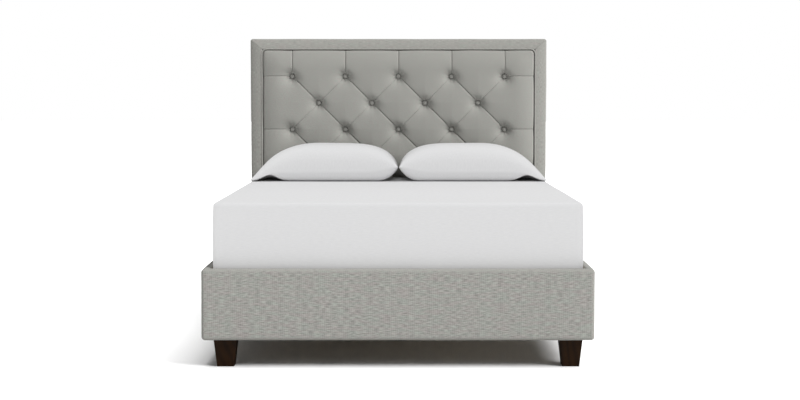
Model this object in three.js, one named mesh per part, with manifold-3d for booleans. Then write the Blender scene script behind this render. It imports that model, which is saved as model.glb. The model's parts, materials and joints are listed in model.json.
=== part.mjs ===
// Upholstered bed with a diamond-tufted headboard, a padded box base on tapered legs,
// a slatted deck on a centre beam, a mattress in a fitted sheet, and two pillows.
// Millimetres. +X is the right-hand side seen from the foot of the bed, +Y points to the
// headboard, +Z is up. The origin is on the floor, under the middle of the whole bed.

import * as THREE from 'three';
import { mergeVertices } from 'three/addons/utils/BufferGeometryUtils.js';
import Module from 'manifold-3d';

const wasm = await Module();
wasm.setup();

// ---------------------------------------------------------------- driving dimensions

const TOUCH = 0.3; // air left between two pieces that touch

const MATTRESS = { width: 1524, length: 2032, height: 305, corner: 32, edge: 26 };
const SHEET = { thick: 2, hem: 90 };
const SIDE_GAP = 5; // mattress to side rail
const END_GAP = 6; // mattress to footboard and to headboard

const LEG = { height: 114, top: 95, foot: 70, corner: 4, fromFront: 36, fromSide: 45 };
const RAIL = { thick: 33, height: 291, board: 24, wrap: 4, edge: 9 };
const FOOTBOARD = { thick: 46, board: 28, wrap: 6, corner: 13, edge: 12 };

const HEADBOARD = { width: 1580, top: 1408, thick: 80, skin: 2, wrap: 6, corner: 9, edge: 7 };
const POST = { width: 60, depth: 30 };
const BOTTOM_RAIL_HEIGHT = 140;
const BACKING_THICK = 9;
const BORDER = { side: 63, top: 56 };
const TUFTED = { bottom: 520, inset: 4, reveal: 1, corner: 22, edge: 10 };

const TUFT = { pitch: 284, step: 142, topRow: 1212, rows: 5, columns: 5 };
const BUTTON = { radius: 12, dome: 6, rim: 2.5, rowsModelled: 3 };
const DIMPLE = { mouth: 44, depth: 24 };
const CREASE = { halfWidth: 15, depth: 11 };

const SLAT = { count: 10, width: 120, thick: 20, endGap: 2, inset: 20 };
const LEDGER = { thick: 30, height: 40 };
const BEAM = { width: 44, height: 70 };
const CENTRE_LEG = { width: 44, lift: 24, spacing: 640 };
const GLIDE = { radius: 21, foot: 6, stem: 5, stemTop: 56, bore: 5.5, boreTop: 72 };
const BRACKET = { plate: 4, reach: 104, height: 176, boltRadius: 7.5, boltHead: 5.5 };

const PILLOW = { length: 754, depth: 440, crown: 186, seam: 72, middleGap: 12, rim: 8 };
const PILLOW_GAP = 6; // pillow to headboard, and a little air under the pillow
const REST_GAP = 1;

// ---------------------------------------------------------------- places that follow

const RAIL_BOTTOM = LEG.height;
const RAIL_TOP = RAIL_BOTTOM + RAIL.height;
const RAIL_INNER = MATTRESS.width / 2 + SIDE_GAP;
const BASE_HALF = RAIL_INNER + RAIL.thick;
const OVERALL = FOOTBOARD.thick + END_GAP + MATTRESS.length + END_GAP + HEADBOARD.thick;
const FRONT = -OVERALL / 2;
const BACK = OVERALL / 2;
const FOOT_INNER = FRONT + FOOTBOARD.thick;
const HEAD_FRONT = BACK - HEADBOARD.thick;
const HEAD_HALF = HEADBOARD.width / 2;
const POST_BACK = BACK - HEADBOARD.skin;
const BACKING_BACK = POST_BACK - POST.depth;
const PAD_BACK = BACKING_BACK - BACKING_THICK;
const WOOD_BOTTOM = RAIL_BOTTOM + RAIL.wrap;
const WOOD_TOP = HEADBOARD.top - HEADBOARD.wrap;
const WOOD_HALF = HEAD_HALF - HEADBOARD.wrap;
const PANEL_HALF = HEAD_HALF - BORDER.side - TUFTED.reveal;
const PANEL_TOP = HEADBOARD.top - BORDER.top - TUFTED.reveal;
const MATTRESS_TOP = 672;
const DECK = MATTRESS_TOP - MATTRESS.height;
const LEDGER_TOP = DECK - SLAT.thick;
const MATTRESS_MIDDLE = FOOT_INNER + END_GAP + MATTRESS.length / 2;

// ---------------------------------------------------------------- materials

const GREY_CLOTH = { color: 0x9b9b95, roughness: 0.95, metalness: 0 };
const BACK_CLOTH = { color: 0x3a3a3b, roughness: 0.95, metalness: 0 };
const DARK_WOOD = { color: 0x2b1d13, roughness: 0.45, metalness: 0 };
const PINE = { color: 0xcfae7c, roughness: 0.7, metalness: 0 };
const PLYWOOD = { color: 0xb8935f, roughness: 0.75, metalness: 0 };
const STEEL = { color: 0x55585c, roughness: 0.4, metalness: 0.9 };
const BLACK_PLASTIC = { color: 0x1b1b1c, roughness: 0.5, metalness: 0 };
const WHITE_CLOTH = { color: 0xf1f1ef, roughness: 0.9, metalness: 0 };
const WHITE_KNIT = { color: 0xe6e6e2, roughness: 0.9, metalness: 0 };

// ---------------------------------------------------------------- geometry helpers

/** Turns a closed three.js geometry into a solid that can be cut and joined. */
function toSolid(geometry) {
  const bare = geometry.clone();
  bare.deleteAttribute('normal');
  bare.deleteAttribute('uv');
  const merged = mergeVertices(bare, 1e-4);
  const corners = [];
  for (let i = 0; i < merged.index.count; i += 3) {
    const [a, b, c] = merged.index.array.subarray(i, i + 3);
    const flat = a === b || b === c || c === a; // a lathe's triangles on its axis
    if (!flat) corners.push(a, b, c);
  }
  return new wasm.Manifold(new wasm.Mesh({
    numProp: 3,
    vertProperties: new Float32Array(merged.attributes.position.array),
    triVerts: new Uint32Array(corners),
  }));
}

/** Turns a solid back into a three.js geometry. */
function toGeometry(solid) {
  const mesh = solid.getMesh();
  const geometry = new THREE.BufferGeometry();
  geometry.setAttribute('position', new THREE.BufferAttribute(mesh.vertProperties, 3));
  geometry.setIndex(new THREE.BufferAttribute(mesh.triVerts, 1));
  geometry.computeVertexNormals();
  return geometry;
}

/** Base with every tool taken away from it. */
function cut(base, ...tools) {
  return toGeometry(tools.reduce((left, tool) => left.subtract(toSolid(tool)), toSolid(base)));
}

/** All the geometries joined into one closed body. */
function join(...pieces) {
  const solids = pieces.map(toSolid);
  return toGeometry(solids.reduce((left, right) => left.add(right)));
}

/** A box given by its lowest and highest corners. */
function boxBetween([x0, y0, z0], [x1, y1, z1]) {
  const box = new THREE.BoxGeometry(x1 - x0, y1 - y0, z1 - z0);
  return box.translate((x0 + x1) / 2, (y0 + y1) / 2, (z0 + z1) / 2);
}

/** A rectangle with round corners, centred on the origin. */
function roundedRectangle(width, height, radius) {
  const x = width / 2 - radius;
  const y = height / 2 - radius;
  const quarter = Math.PI / 2;
  const shape = new THREE.Shape();
  shape.absarc(x, -y, radius, -quarter, 0);
  shape.absarc(x, y, radius, 0, quarter);
  shape.absarc(-x, y, radius, quarter, 2 * quarter);
  shape.absarc(-x, -y, radius, 2 * quarter, 3 * quarter);
  return shape;
}

/** A slab standing on z = 0 with round upright corners and round top and bottom edges. */
function softSlab(width, depth, height, corner, edge, steps = 2) {
  const slab = new THREE.ExtrudeGeometry(roundedRectangle(width, depth, corner), {
    depth: height - 2 * edge,
    curveSegments: 2 * steps,
    bevelThickness: edge,
    bevelSize: edge,
    bevelOffset: -edge,
    bevelSegments: steps,
  });
  return slab.translate(0, 0, edge);
}

/** A softSlab turned to face -Y: its outline lies in XZ and its back is at y = 0. */
function frontPad(width, height, thick, corner, edge, steps = 2) {
  return softSlab(width, height, thick, corner, edge, steps).rotateX(Math.PI / 2);
}

/** The same geometry reflected in the YZ plane, with its faces still pointing out. */
function mirrorX(geometry) {
  const mirrored = geometry.index ? geometry.toNonIndexed() : geometry.clone();
  mirrored.scale(-1, 1, 1);
  const place = mirrored.attributes.position;
  const first = new THREE.Vector3();
  const third = new THREE.Vector3();
  for (let i = 0; i < place.count; i += 3) {
    first.fromBufferAttribute(place, i);
    third.fromBufferAttribute(place, i + 2);
    place.setXYZ(i, third.x, third.y, third.z);
    place.setXYZ(i + 2, first.x, first.y, first.z);
  }
  return mirrored;
}

/** The same geometry reflected in the XZ plane, with its faces still pointing out. */
function mirrorY(geometry) {
  return mirrorX(geometry.clone().rotateZ(Math.PI / 2)).rotateZ(-Math.PI / 2);
}

/** Right-hand geometry as it is, or reflected to the left-hand side. */
function onSide(geometry, sign) {
  return sign > 0 ? geometry : mirrorX(geometry);
}

/** A named mesh. */
function piece(name, geometry, material) {
  const mesh = new THREE.Mesh(geometry, new THREE.MeshStandardMaterial(material));
  mesh.name = name;
  return mesh;
}

/** Sides of the bed with the sign of their X. */
const SIDES = [['left', -1], ['right', 1]];

// ---------------------------------------------------------------- headboard

/** Two posts, two rails and the plywood sheet that the padding is fixed to. */
function headboardFrame() {
  const group = new THREE.Group();
  const inner = WOOD_HALF - POST.width;
  const post = boxBetween(
    [inner, BACKING_BACK + TOUCH, WOOD_BOTTOM],
    [WOOD_HALF - TOUCH, POST_BACK - TOUCH, WOOD_TOP - TOUCH],
  );
  for (const [side, sign] of SIDES) {
    group.add(piece(`headboard_post_${side}`, onSide(post, sign), PINE));
  }
  for (const [name, bottom, top] of [
    ['headboard_top_rail', WOOD_TOP - POST.width, WOOD_TOP - TOUCH],
    ['headboard_bottom_rail', WOOD_BOTTOM, WOOD_BOTTOM + BOTTOM_RAIL_HEIGHT],
  ]) {
    const rail = boxBetween(
      [-inner + TOUCH, BACKING_BACK + TOUCH, bottom],
      [inner - TOUCH, POST_BACK - TOUCH, top],
    );
    group.add(piece(name, rail, PINE));
  }
  const sheet = boxBetween(
    [-WOOD_HALF + TOUCH, PAD_BACK + TOUCH, WOOD_BOTTOM],
    [WOOD_HALF - TOUCH, BACKING_BACK, WOOD_TOP - TOUCH],
  );
  group.add(piece('headboard_backing', sheet, PLYWOOD));
  return group;
}

/** Cloth dust cover over the back of the frame. */
function headboardBack() {
  const cover = boxBetween(
    [-WOOD_HALF + TOUCH, POST_BACK, WOOD_BOTTOM],
    [WOOD_HALF - TOUCH, BACK, WOOD_TOP - TOUCH],
  );
  return piece('headboard_back_cover', cover, BACK_CLOTH);
}

/** Prism over everything above or below the mitre line at the right-hand top corner. */
function mitreCutter(above) {
  const slope = BORDER.top / BORDER.side;
  const reach = 3 * BORDER.side; // how far the prism runs past both ends of the mitre
  const shift = above ? -TOUCH : TOUCH;
  const outer = new THREE.Vector2(HEAD_HALF + reach, HEADBOARD.top + reach * slope + shift);
  const run = BORDER.side + 2 * reach;
  const inner = new THREE.Vector2(outer.x - run, outer.y - run * slope);
  const far = above ? new THREE.Vector2(inner.x, outer.y) : new THREE.Vector2(outer.x, inner.y);
  const depth = 3 * HEADBOARD.thick;
  const triangle = new THREE.Shape([outer, inner, far]);
  const prism = new THREE.ExtrudeGeometry(triangle, { depth, bevelEnabled: false });
  return prism.rotateX(Math.PI / 2).translate(0, BACK + HEADBOARD.thick, 0);
}

/** Full headboard outline as one soft-edged block, from its front to its back. */
function headboardBlock() {
  const { width, top, thick, corner, edge } = HEADBOARD;
  const height = top - RAIL_BOTTOM;
  return frontPad(width, height, thick, corner, edge).translate(0, BACK, top - height / 2);
}

/** Right-hand padded border: a front pad and a thin wrap back over the post. */
function sideBorder() {
  const wide = HEAD_HALF + 1;
  return cut(
    headboardBlock(),
    boxBetween([-wide, FRONT, 0], [HEAD_HALF - BORDER.side, BACK + 1, HEADBOARD.top + 1]),
    boxBetween([0, PAD_BACK, 0], [WOOD_HALF, BACK + 1, HEADBOARD.top + 1]),
    mitreCutter(true),
  );
}

/** Padded border along the top, mitred at both ends. */
function topBorder() {
  const wide = HEAD_HALF + 1;
  return cut(
    headboardBlock(),
    boxBetween([-wide, FRONT, 0], [wide, BACK + 1, HEADBOARD.top - BORDER.top]),
    boxBetween([-wide, PAD_BACK, 0], [wide, BACK + 1, WOOD_TOP]),
    mitreCutter(false),
    mirrorX(mitreCutter(false)),
  );
}

/** Places of the buttons as [row, column, x, z], row 0 at the top. */
function tuftPlaces() {
  const places = [];
  for (let row = 0; row < TUFT.rows; row += 1) {
    const count = TUFT.columns - (row % 2);
    for (let column = 0; column < count; column += 1) {
      const x = (column - (count - 1) / 2) * TUFT.pitch;
      places.push([row, column, x, TUFT.topRow - row * TUFT.step]);
    }
  }
  return places;
}

/** Cutter for one dimple: a funnel that opens towards -Y at the panel's face. */
function dimpleCutter(x, face, z) {
  const seat = BUTTON.radius + 1;
  const mouth = DIMPLE.mouth;
  const profile = [
    new THREE.Vector2(0, -DIMPLE.depth),
    new THREE.Vector2(seat, -DIMPLE.depth),
    new THREE.Vector2((seat + mouth) / 2, -DIMPLE.depth * 0.3),
    new THREE.Vector2(mouth, 0),
    new THREE.Vector2(mouth, 2),
    new THREE.Vector2(0, 2),
  ];
  const funnel = new THREE.LatheGeometry(profile, 12);
  return funnel.rotateX(Math.PI).translate(x, face, z);
}

/** Cutter for one folded crease between two points [x, z] of the panel's face. */
function creaseCutter(from, to, face) {
  const shape = new THREE.Shape([
    new THREE.Vector2(-CREASE.halfWidth, -1),
    new THREE.Vector2(CREASE.halfWidth, -1),
    new THREE.Vector2(0, CREASE.depth),
  ]);
  const run = new THREE.Vector2().subVectors(to, from);
  const groove = new THREE.ExtrudeGeometry(shape, { depth: run.length(), bevelEnabled: false });
  const across = new THREE.Vector3(run.y, 0, -run.x).normalize();
  const inward = new THREE.Vector3(0, 1, 0);
  const along = new THREE.Vector3(run.x, 0, run.y).normalize();
  groove.applyMatrix4(new THREE.Matrix4().makeBasis(across, inward, along));
  return groove.translate(from.x, face, from.y);
}

/** Every crease of the diamond pattern as pairs of points [x, z]. */
function creaseLines() {
  const lines = [];
  for (const [row, column, x, z] of tuftPlaces()) {
    const button = new THREE.Vector2(x, z);
    for (const side of [-1, 1]) {
      const next = new THREE.Vector2(x + side * TUFT.pitch / 2, z - TUFT.step);
      const inside = Math.abs(next.x) < TUFT.pitch * (TUFT.columns - 1) / 2 + 1;
      if (inside && row < TUFT.rows - 1) lines.push([button, next]);
    }
    const outermost = row % 2 === 0 && (column === 0 || column === TUFT.columns - 1);
    if (outermost) lines.push([button, new THREE.Vector2(Math.sign(x) * PANEL_HALF, z)]);
    if (row === 0) lines.push([button, new THREE.Vector2(x, PANEL_TOP)]);
  }
  return lines;
}

/** Foam panel covered in cloth, drawn in at every button. */
function tuftedPanel() {
  const face = HEAD_FRONT + TUFTED.inset;
  const height = PANEL_TOP - TUFTED.bottom;
  const pad = frontPad(2 * PANEL_HALF, height, PAD_BACK - face, TUFTED.corner, TUFTED.edge, 2);
  pad.translate(0, PAD_BACK, TUFTED.bottom + height / 2);
  const dimples = tuftPlaces().map(([, , x, z]) => dimpleCutter(x, face, z));
  const creases = creaseLines().map(([from, to]) => creaseCutter(from, to, face));
  return piece('tufted_panel', cut(pad, ...dimples, ...creases), GREY_CLOTH);
}

/** Flat padded panel under the tufted one, behind the mattress. */
function lowerPanel() {
  const height = TUFTED.bottom - TUFTED.reveal - RAIL_BOTTOM;
  const pad = frontPad(2 * PANEL_HALF, height, PAD_BACK - HEAD_FRONT, 4, 3, 1);
  pad.translate(0, PAD_BACK, RAIL_BOTTOM + height / 2);
  return piece('headboard_lower_panel', pad, GREY_CLOTH);
}

/** Domed button on its seat at the bottom of a dimple. */
function tuftButton(row, column, x, z) {
  const rim = BUTTON.rim;
  const profile = [new THREE.Vector2(0, 0), new THREE.Vector2(BUTTON.radius * 0.86, 0)];
  profile.push(new THREE.Vector2(BUTTON.radius, rim * 0.5));
  profile.push(new THREE.Vector2(BUTTON.radius, rim));
  for (const turn of [0.3, 0.6, 0.85]) {
    const angle = turn * Math.PI / 2;
    const reach = BUTTON.radius * Math.cos(angle);
    profile.push(new THREE.Vector2(reach, rim + BUTTON.dome * Math.sin(angle)));
  }
  profile.push(new THREE.Vector2(0, rim + BUTTON.dome));
  const dome = new THREE.LatheGeometry(profile, 12).rotateX(Math.PI);
  const button = piece(`tuft_button_r${row + 1}_${column + 1}`, dome, GREY_CLOTH);
  button.position.set(x, HEAD_FRONT + TUFTED.inset + DIMPLE.depth - TOUCH, z);
  return button;
}

/** The whole headboard. */
function headboard() {
  const group = new THREE.Group();
  group.add(headboardFrame(), headboardBack(), tuftedPanel(), lowerPanel());
  const right = sideBorder();
  group.add(piece('border_right', right, GREY_CLOTH));
  group.add(piece('border_left', mirrorX(right), GREY_CLOTH));
  group.add(piece('border_top', topBorder(), GREY_CLOTH));
  for (const [row, column, x, z] of tuftPlaces()) {
    if (row < BUTTON.rowsModelled) group.add(tuftButton(row, column, x, z));
  }
  return group;
}

// ---------------------------------------------------------------- base

/** Side rail: a timber board, the padded cover wrapped round it, and the slat ledger. */
function sideRails() {
  const group = new THREE.Group();
  const length = HEAD_FRONT - FOOT_INNER - 2 * TOUCH;
  const middle = (HEAD_FRONT + FOOT_INNER) / 2;
  const boardOuter = RAIL_INNER + RAIL.board;
  for (const [side, sign] of SIDES) {
    const board = boxBetween(
      [RAIL_INNER, -length / 2, WOOD_BOTTOM + TOUCH],
      [boardOuter - TOUCH, length / 2, RAIL_TOP - RAIL.wrap - TOUCH],
    );
    const section = roundedRectangle(2 * RAIL.thick, RAIL.height, RAIL.edge);
    const block = new THREE.ExtrudeGeometry(section, { depth: length, curveSegments: 4, bevelEnabled: false });
    block.rotateX(Math.PI / 2);
    block.translate(RAIL_INNER, length / 2, RAIL_BOTTOM + RAIL.height / 2);
    const cover = cut(
      block,
      boxBetween([0, -length, 0], [RAIL_INNER, length, RAIL_TOP + 1]),
      boxBetween([0, -length, WOOD_BOTTOM], [boardOuter, length, RAIL_TOP - RAIL.wrap]),
    );
    const ledger = boxBetween(
      [RAIL_INNER - TOUCH - LEDGER.thick, -length / 2, LEDGER_TOP - TOUCH - LEDGER.height],
      [RAIL_INNER - TOUCH, length / 2, LEDGER_TOP - TOUCH],
    );
    for (const [name, geometry, material] of [
      [`side_rail_board_${side}`, board, PINE],
      [`side_rail_cover_${side}`, cover, GREY_CLOTH],
      [`slat_ledger_${side}`, ledger, PINE],
    ]) {
      const mesh = piece(name, onSide(geometry, sign), material);
      mesh.position.y = middle;
      group.add(mesh);
    }
  }
  return group;
}

/** Footboard: a timber board in a padded cover that wraps its front, edges and ends. */
function footboard() {
  const group = new THREE.Group();
  const boardFront = FOOT_INNER - FOOTBOARD.board;
  const boardHalf = BASE_HALF - FOOTBOARD.wrap;
  const boardTop = RAIL_TOP - FOOTBOARD.wrap;
  const boardBottom = RAIL_BOTTOM + FOOTBOARD.wrap;
  const board = boxBetween(
    [-boardHalf + TOUCH, boardFront + TOUCH, boardBottom + TOUCH],
    [boardHalf - TOUCH, FOOT_INNER, boardTop - TOUCH],
  );
  const block = frontPad(2 * BASE_HALF, RAIL.height, FOOTBOARD.thick, FOOTBOARD.corner, FOOTBOARD.edge);
  block.translate(0, FOOT_INNER, RAIL_BOTTOM + RAIL.height / 2);
  const pocket = boxBetween(
    [-boardHalf, boardFront, boardBottom],
    [boardHalf, FOOT_INNER + 1, boardTop],
  );
  group.add(piece('footboard_board', board, PINE));
  group.add(piece('footboard_cover', cut(block, pocket), GREY_CLOTH));
  return group;
}

/** Steel angle in one corner of the base, with the plate that the leg bolts to. */
function cornerBracket() {
  const corner = RAIL_INNER - TOUCH;
  const near = -TOUCH;
  const plate = BRACKET.plate;
  const bottom = RAIL_BOTTOM + TOUCH;
  const inner = corner - BRACKET.reach;
  const far = near - BRACKET.reach;
  const top = bottom + BRACKET.height;
  const parts = [
    boxBetween([corner - plate, far, bottom], [corner, near, top]),
    boxBetween([inner, near - plate, bottom], [corner, near, top]),
    boxBetween([inner, far, bottom], [corner, near, bottom + plate]),
  ];
  const boltLength = BRACKET.boltHead + plate / 2;
  for (const height of [0.4, 0.8]) {
    const z = bottom + BRACKET.height * height;
    const sideBolt = hexBolt(boltLength).rotateZ(Math.PI / 2);
    parts.push(sideBolt.translate(corner - plate - BRACKET.boltHead / 2, far * 0.55, z));
    const endBolt = hexBolt(boltLength);
    parts.push(endBolt.translate(corner - BRACKET.reach * 0.55, near - plate - BRACKET.boltHead / 2, z));
  }
  const legNut = hexBolt(boltLength).rotateX(Math.PI / 2);
  const legMiddle = BASE_HALF - LEG.fromSide - LEG.top / 2;
  parts.push(legNut.translate(legMiddle, far * 0.5, bottom + plate + BRACKET.boltHead / 2));
  return join(...parts);
}

/** Hexagonal bolt head along Y, centred on the origin. */
function hexBolt(length) {
  return new THREE.CylinderGeometry(BRACKET.boltRadius, BRACKET.boltRadius, length, 6);
}

/** Square block leg that narrows towards the floor. */
function taperedLeg() {
  const leg = new THREE.ExtrudeGeometry(roundedRectangle(1, 1, LEG.corner / LEG.top), {
    depth: LEG.height - TOUCH,
    curveSegments: 3,
    bevelEnabled: false,
  });
  const place = leg.attributes.position;
  for (let i = 0; i < place.count; i += 1) {
    const width = THREE.MathUtils.lerp(LEG.foot, LEG.top, place.getZ(i) / (LEG.height - TOUCH));
    place.setXY(i, place.getX(i) * width, place.getY(i) * width);
  }
  leg.computeVertexNormals();
  return leg;
}

/** A bracket and a leg in each of the four corners. */
function cornersAndLegs() {
  const group = new THREE.Group();
  const bracket = cornerBracket();
  const legX = BASE_HALF - LEG.fromSide - LEG.top / 2;
  const legFromEnd = LEG.fromFront - FOOTBOARD.thick + LEG.top / 2;
  for (const [side, signX] of SIDES) {
    for (const [end, signY, y] of [['front', -1, FOOT_INNER], ['rear', 1, HEAD_FRONT]]) {
      const turned = signY > 0 ? bracket : mirrorY(bracket);
      const angle = piece(`corner_bracket_${end}_${side}`, onSide(turned, signX), STEEL);
      angle.position.y = y;
      const leg = piece(`leg_${end}_${side}`, taperedLeg(), DARK_WOOD);
      leg.position.set(signX * legX, y - signY * legFromEnd, 0);
      group.add(angle, leg);
    }
  }
  return group;
}

/** Slats across the base, from rail to rail. */
function slats() {
  const group = new THREE.Group();
  const half = RAIL_INNER - SLAT.endGap;
  const first = MATTRESS_MIDDLE - MATTRESS.length / 2 + SLAT.inset + SLAT.width / 2;
  const last = MATTRESS_MIDDLE + MATTRESS.length / 2 - SLAT.inset - SLAT.width / 2;
  for (let i = 0; i < SLAT.count; i += 1) {
    const board = new THREE.BoxGeometry(2 * half, SLAT.width, SLAT.thick - TOUCH);
    const slat = piece(`slat_${String(i + 1).padStart(2, '0')}`, board, PINE);
    const y = THREE.MathUtils.lerp(first, last, i / (SLAT.count - 1));
    slat.position.set(0, y, LEDGER_TOP + (SLAT.thick - TOUCH) / 2);
    group.add(slat);
  }
  return group;
}

/** Beam under the slats, with two legs that each stand on a levelling glide. */
function centreSupport() {
  const group = new THREE.Group();
  const beamTop = LEDGER_TOP - TOUCH;
  const beamBottom = beamTop - BEAM.height;
  const beam = boxBetween(
    [-BEAM.width / 2, FOOT_INNER + TOUCH, beamBottom],
    [BEAM.width / 2, HEAD_FRONT - TOUCH, beamTop],
  );
  group.add(piece('centre_beam', beam, PINE));
  for (const [end, sign] of [['front', -1], ['rear', 1]]) {
    const post = boxBetween(
      [-CENTRE_LEG.width / 2, -CENTRE_LEG.width / 2, CENTRE_LEG.lift],
      [CENTRE_LEG.width / 2, CENTRE_LEG.width / 2, beamBottom - TOUCH],
    );
    const bore = new THREE.CylinderGeometry(GLIDE.bore, GLIDE.bore, GLIDE.boreTop, 12);
    bore.rotateX(Math.PI / 2).translate(0, 0, GLIDE.boreTop / 2);
    const leg = piece(`centre_leg_${end}`, cut(post, bore), PINE);
    const glide = piece(`levelling_glide_${end}`, levellingGlide(), BLACK_PLASTIC);
    for (const mesh of [leg, glide]) {
      mesh.position.y = MATTRESS_MIDDLE + sign * CENTRE_LEG.spacing / 2;
      group.add(mesh);
    }
  }
  return group;
}

/** Round foot on a threaded stem that screws up into a centre leg. */
function levellingGlide() {
  const profile = [
    new THREE.Vector2(0, 0),
    new THREE.Vector2(GLIDE.radius - 1, 0),
    new THREE.Vector2(GLIDE.radius, 1),
    new THREE.Vector2(GLIDE.radius, GLIDE.foot - 2),
    new THREE.Vector2(GLIDE.stem + 4, GLIDE.foot),
    new THREE.Vector2(GLIDE.stem, GLIDE.foot),
    new THREE.Vector2(GLIDE.stem, GLIDE.stemTop),
    new THREE.Vector2(0, GLIDE.stemTop),
  ];
  return new THREE.LatheGeometry(profile, 20).rotateX(Math.PI / 2);
}

// ---------------------------------------------------------------- bedding

/** Mattress block grown or shrunk by a margin on every side. */
function mattressBlock(margin) {
  const { width, length, height, corner, edge } = MATTRESS;
  const block = softSlab(
    width + 2 * margin, length + 2 * margin, height + 2 * margin, corner + margin, edge + margin,
  );
  return block.translate(0, MATTRESS_MIDDLE, DECK - margin);
}

/** Mattress inside its fitted sheet, which turns under it in a hem all round. */
function mattressAndSheet() {
  const { width, length } = MATTRESS;
  const window = boxBetween(
    [SHEET.hem - width / 2, MATTRESS_MIDDLE - length / 2 + SHEET.hem, DECK - 1],
    [width / 2 - SHEET.hem, MATTRESS_MIDDLE + length / 2 - SHEET.hem, DECK + 2 * SHEET.thick],
  );
  const skin = cut(mattressBlock(-TOUCH), mattressBlock(-SHEET.thick), window);
  const group = new THREE.Group();
  group.add(piece('mattress', mattressBlock(-SHEET.thick - TOUCH), WHITE_KNIT));
  group.add(piece('fitted_sheet', skin, WHITE_CLOTH));
  return group;
}

/** Stuffed pillow lying flat: full in the middle, thin along its seam. */
function pillow() {
  const { length, depth, crown, seam, rim } = PILLOW;
  const block = new THREE.BoxGeometry(2, 2, 2, 12, 10, 1);
  const place = block.attributes.position;
  for (let i = 0; i < place.count; i += 1) {
    const u = Math.sin(place.getX(i) * Math.PI / 2);
    const v = Math.sin(place.getY(i) * Math.PI / 2);
    const fullness = ((1 - u ** 4) * (1 - v ** 4)) ** 0.55;
    const up = place.getZ(i) > 0;
    const top = seam + rim / 2 + (crown - seam - rim / 2) * fullness;
    const bottom = Math.max(0, seam - rim / 2 - 1.5 * seam * fullness);
    place.setXYZ(i, u * length / 2, v * depth / 2, up ? top : bottom);
  }
  block.computeVertexNormals();
  return block;
}

/** Two pillows side by side against the headboard. */
function pillows() {
  const group = new THREE.Group();
  for (const [side, sign] of SIDES) {
    const cushion = piece(`pillow_${side}`, pillow(), WHITE_CLOTH);
    cushion.position.set(
      sign * (PILLOW.length + PILLOW.middleGap) / 2,
      HEAD_FRONT - PILLOW_GAP - PILLOW.depth / 2,
      MATTRESS_TOP + REST_GAP,
    );
    group.add(cushion);
  }
  return group;
}

// ---------------------------------------------------------------- the bed

const bed = new THREE.Group();
bed.add(headboard(), sideRails(), footboard(), cornersAndLegs(), slats(), centreSupport());
bed.add(mattressAndSheet(), pillows());

export default bed;
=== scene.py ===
"""Looks of an upholstered bed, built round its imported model.

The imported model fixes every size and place. This script replaces the plain soft solids with
padded, tufted and stuffed cloth, gives the timber, steel and plastic their own finishes, and
sets up a small white studio.
"""

import json
import logging
import math
from dataclasses import dataclass, field
from enum import Enum
from typing import Callable, Optional, Sequence

import bmesh
import bpy
import numpy as np
from mathutils import Matrix, Vector

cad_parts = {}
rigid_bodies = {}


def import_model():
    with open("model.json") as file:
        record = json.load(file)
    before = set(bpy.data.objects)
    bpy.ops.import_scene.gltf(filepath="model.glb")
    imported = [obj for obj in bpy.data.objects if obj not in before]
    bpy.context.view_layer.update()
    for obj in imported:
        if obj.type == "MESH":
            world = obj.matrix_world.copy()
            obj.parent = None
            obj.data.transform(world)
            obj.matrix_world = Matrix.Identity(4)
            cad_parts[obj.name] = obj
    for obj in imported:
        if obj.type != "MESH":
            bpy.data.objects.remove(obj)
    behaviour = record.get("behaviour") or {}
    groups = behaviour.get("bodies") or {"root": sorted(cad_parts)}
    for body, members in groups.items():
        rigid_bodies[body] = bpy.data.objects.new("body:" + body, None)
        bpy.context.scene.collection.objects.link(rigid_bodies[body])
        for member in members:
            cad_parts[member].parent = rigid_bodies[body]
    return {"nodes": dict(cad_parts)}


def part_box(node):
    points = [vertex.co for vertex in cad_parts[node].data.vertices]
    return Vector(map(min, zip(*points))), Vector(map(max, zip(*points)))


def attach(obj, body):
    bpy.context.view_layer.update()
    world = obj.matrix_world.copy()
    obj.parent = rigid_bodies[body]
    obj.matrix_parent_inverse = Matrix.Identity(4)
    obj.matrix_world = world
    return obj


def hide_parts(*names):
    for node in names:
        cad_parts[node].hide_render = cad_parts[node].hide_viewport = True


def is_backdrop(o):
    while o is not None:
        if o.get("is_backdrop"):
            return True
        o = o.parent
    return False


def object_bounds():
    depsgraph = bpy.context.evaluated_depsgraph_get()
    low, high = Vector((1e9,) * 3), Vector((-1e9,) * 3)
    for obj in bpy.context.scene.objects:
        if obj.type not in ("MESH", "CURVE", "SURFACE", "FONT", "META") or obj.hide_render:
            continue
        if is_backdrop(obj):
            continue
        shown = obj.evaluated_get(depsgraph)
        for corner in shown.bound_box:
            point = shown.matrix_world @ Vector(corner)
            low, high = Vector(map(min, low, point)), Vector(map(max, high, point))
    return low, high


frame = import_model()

log = logging.getLogger("bed")

BODY = "bed_frame"
MM = 0.001


class Axis(Enum):
    """The three axes of the bed."""

    X = 0
    Y = 1
    Z = 2


class Side(Enum):
    """The two sides of the bed, seen from its foot."""

    LEFT = -1
    RIGHT = 1

    @property
    def word(self) -> str:
        """The side's name in a node's name."""
        return self.name.lower()


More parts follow.
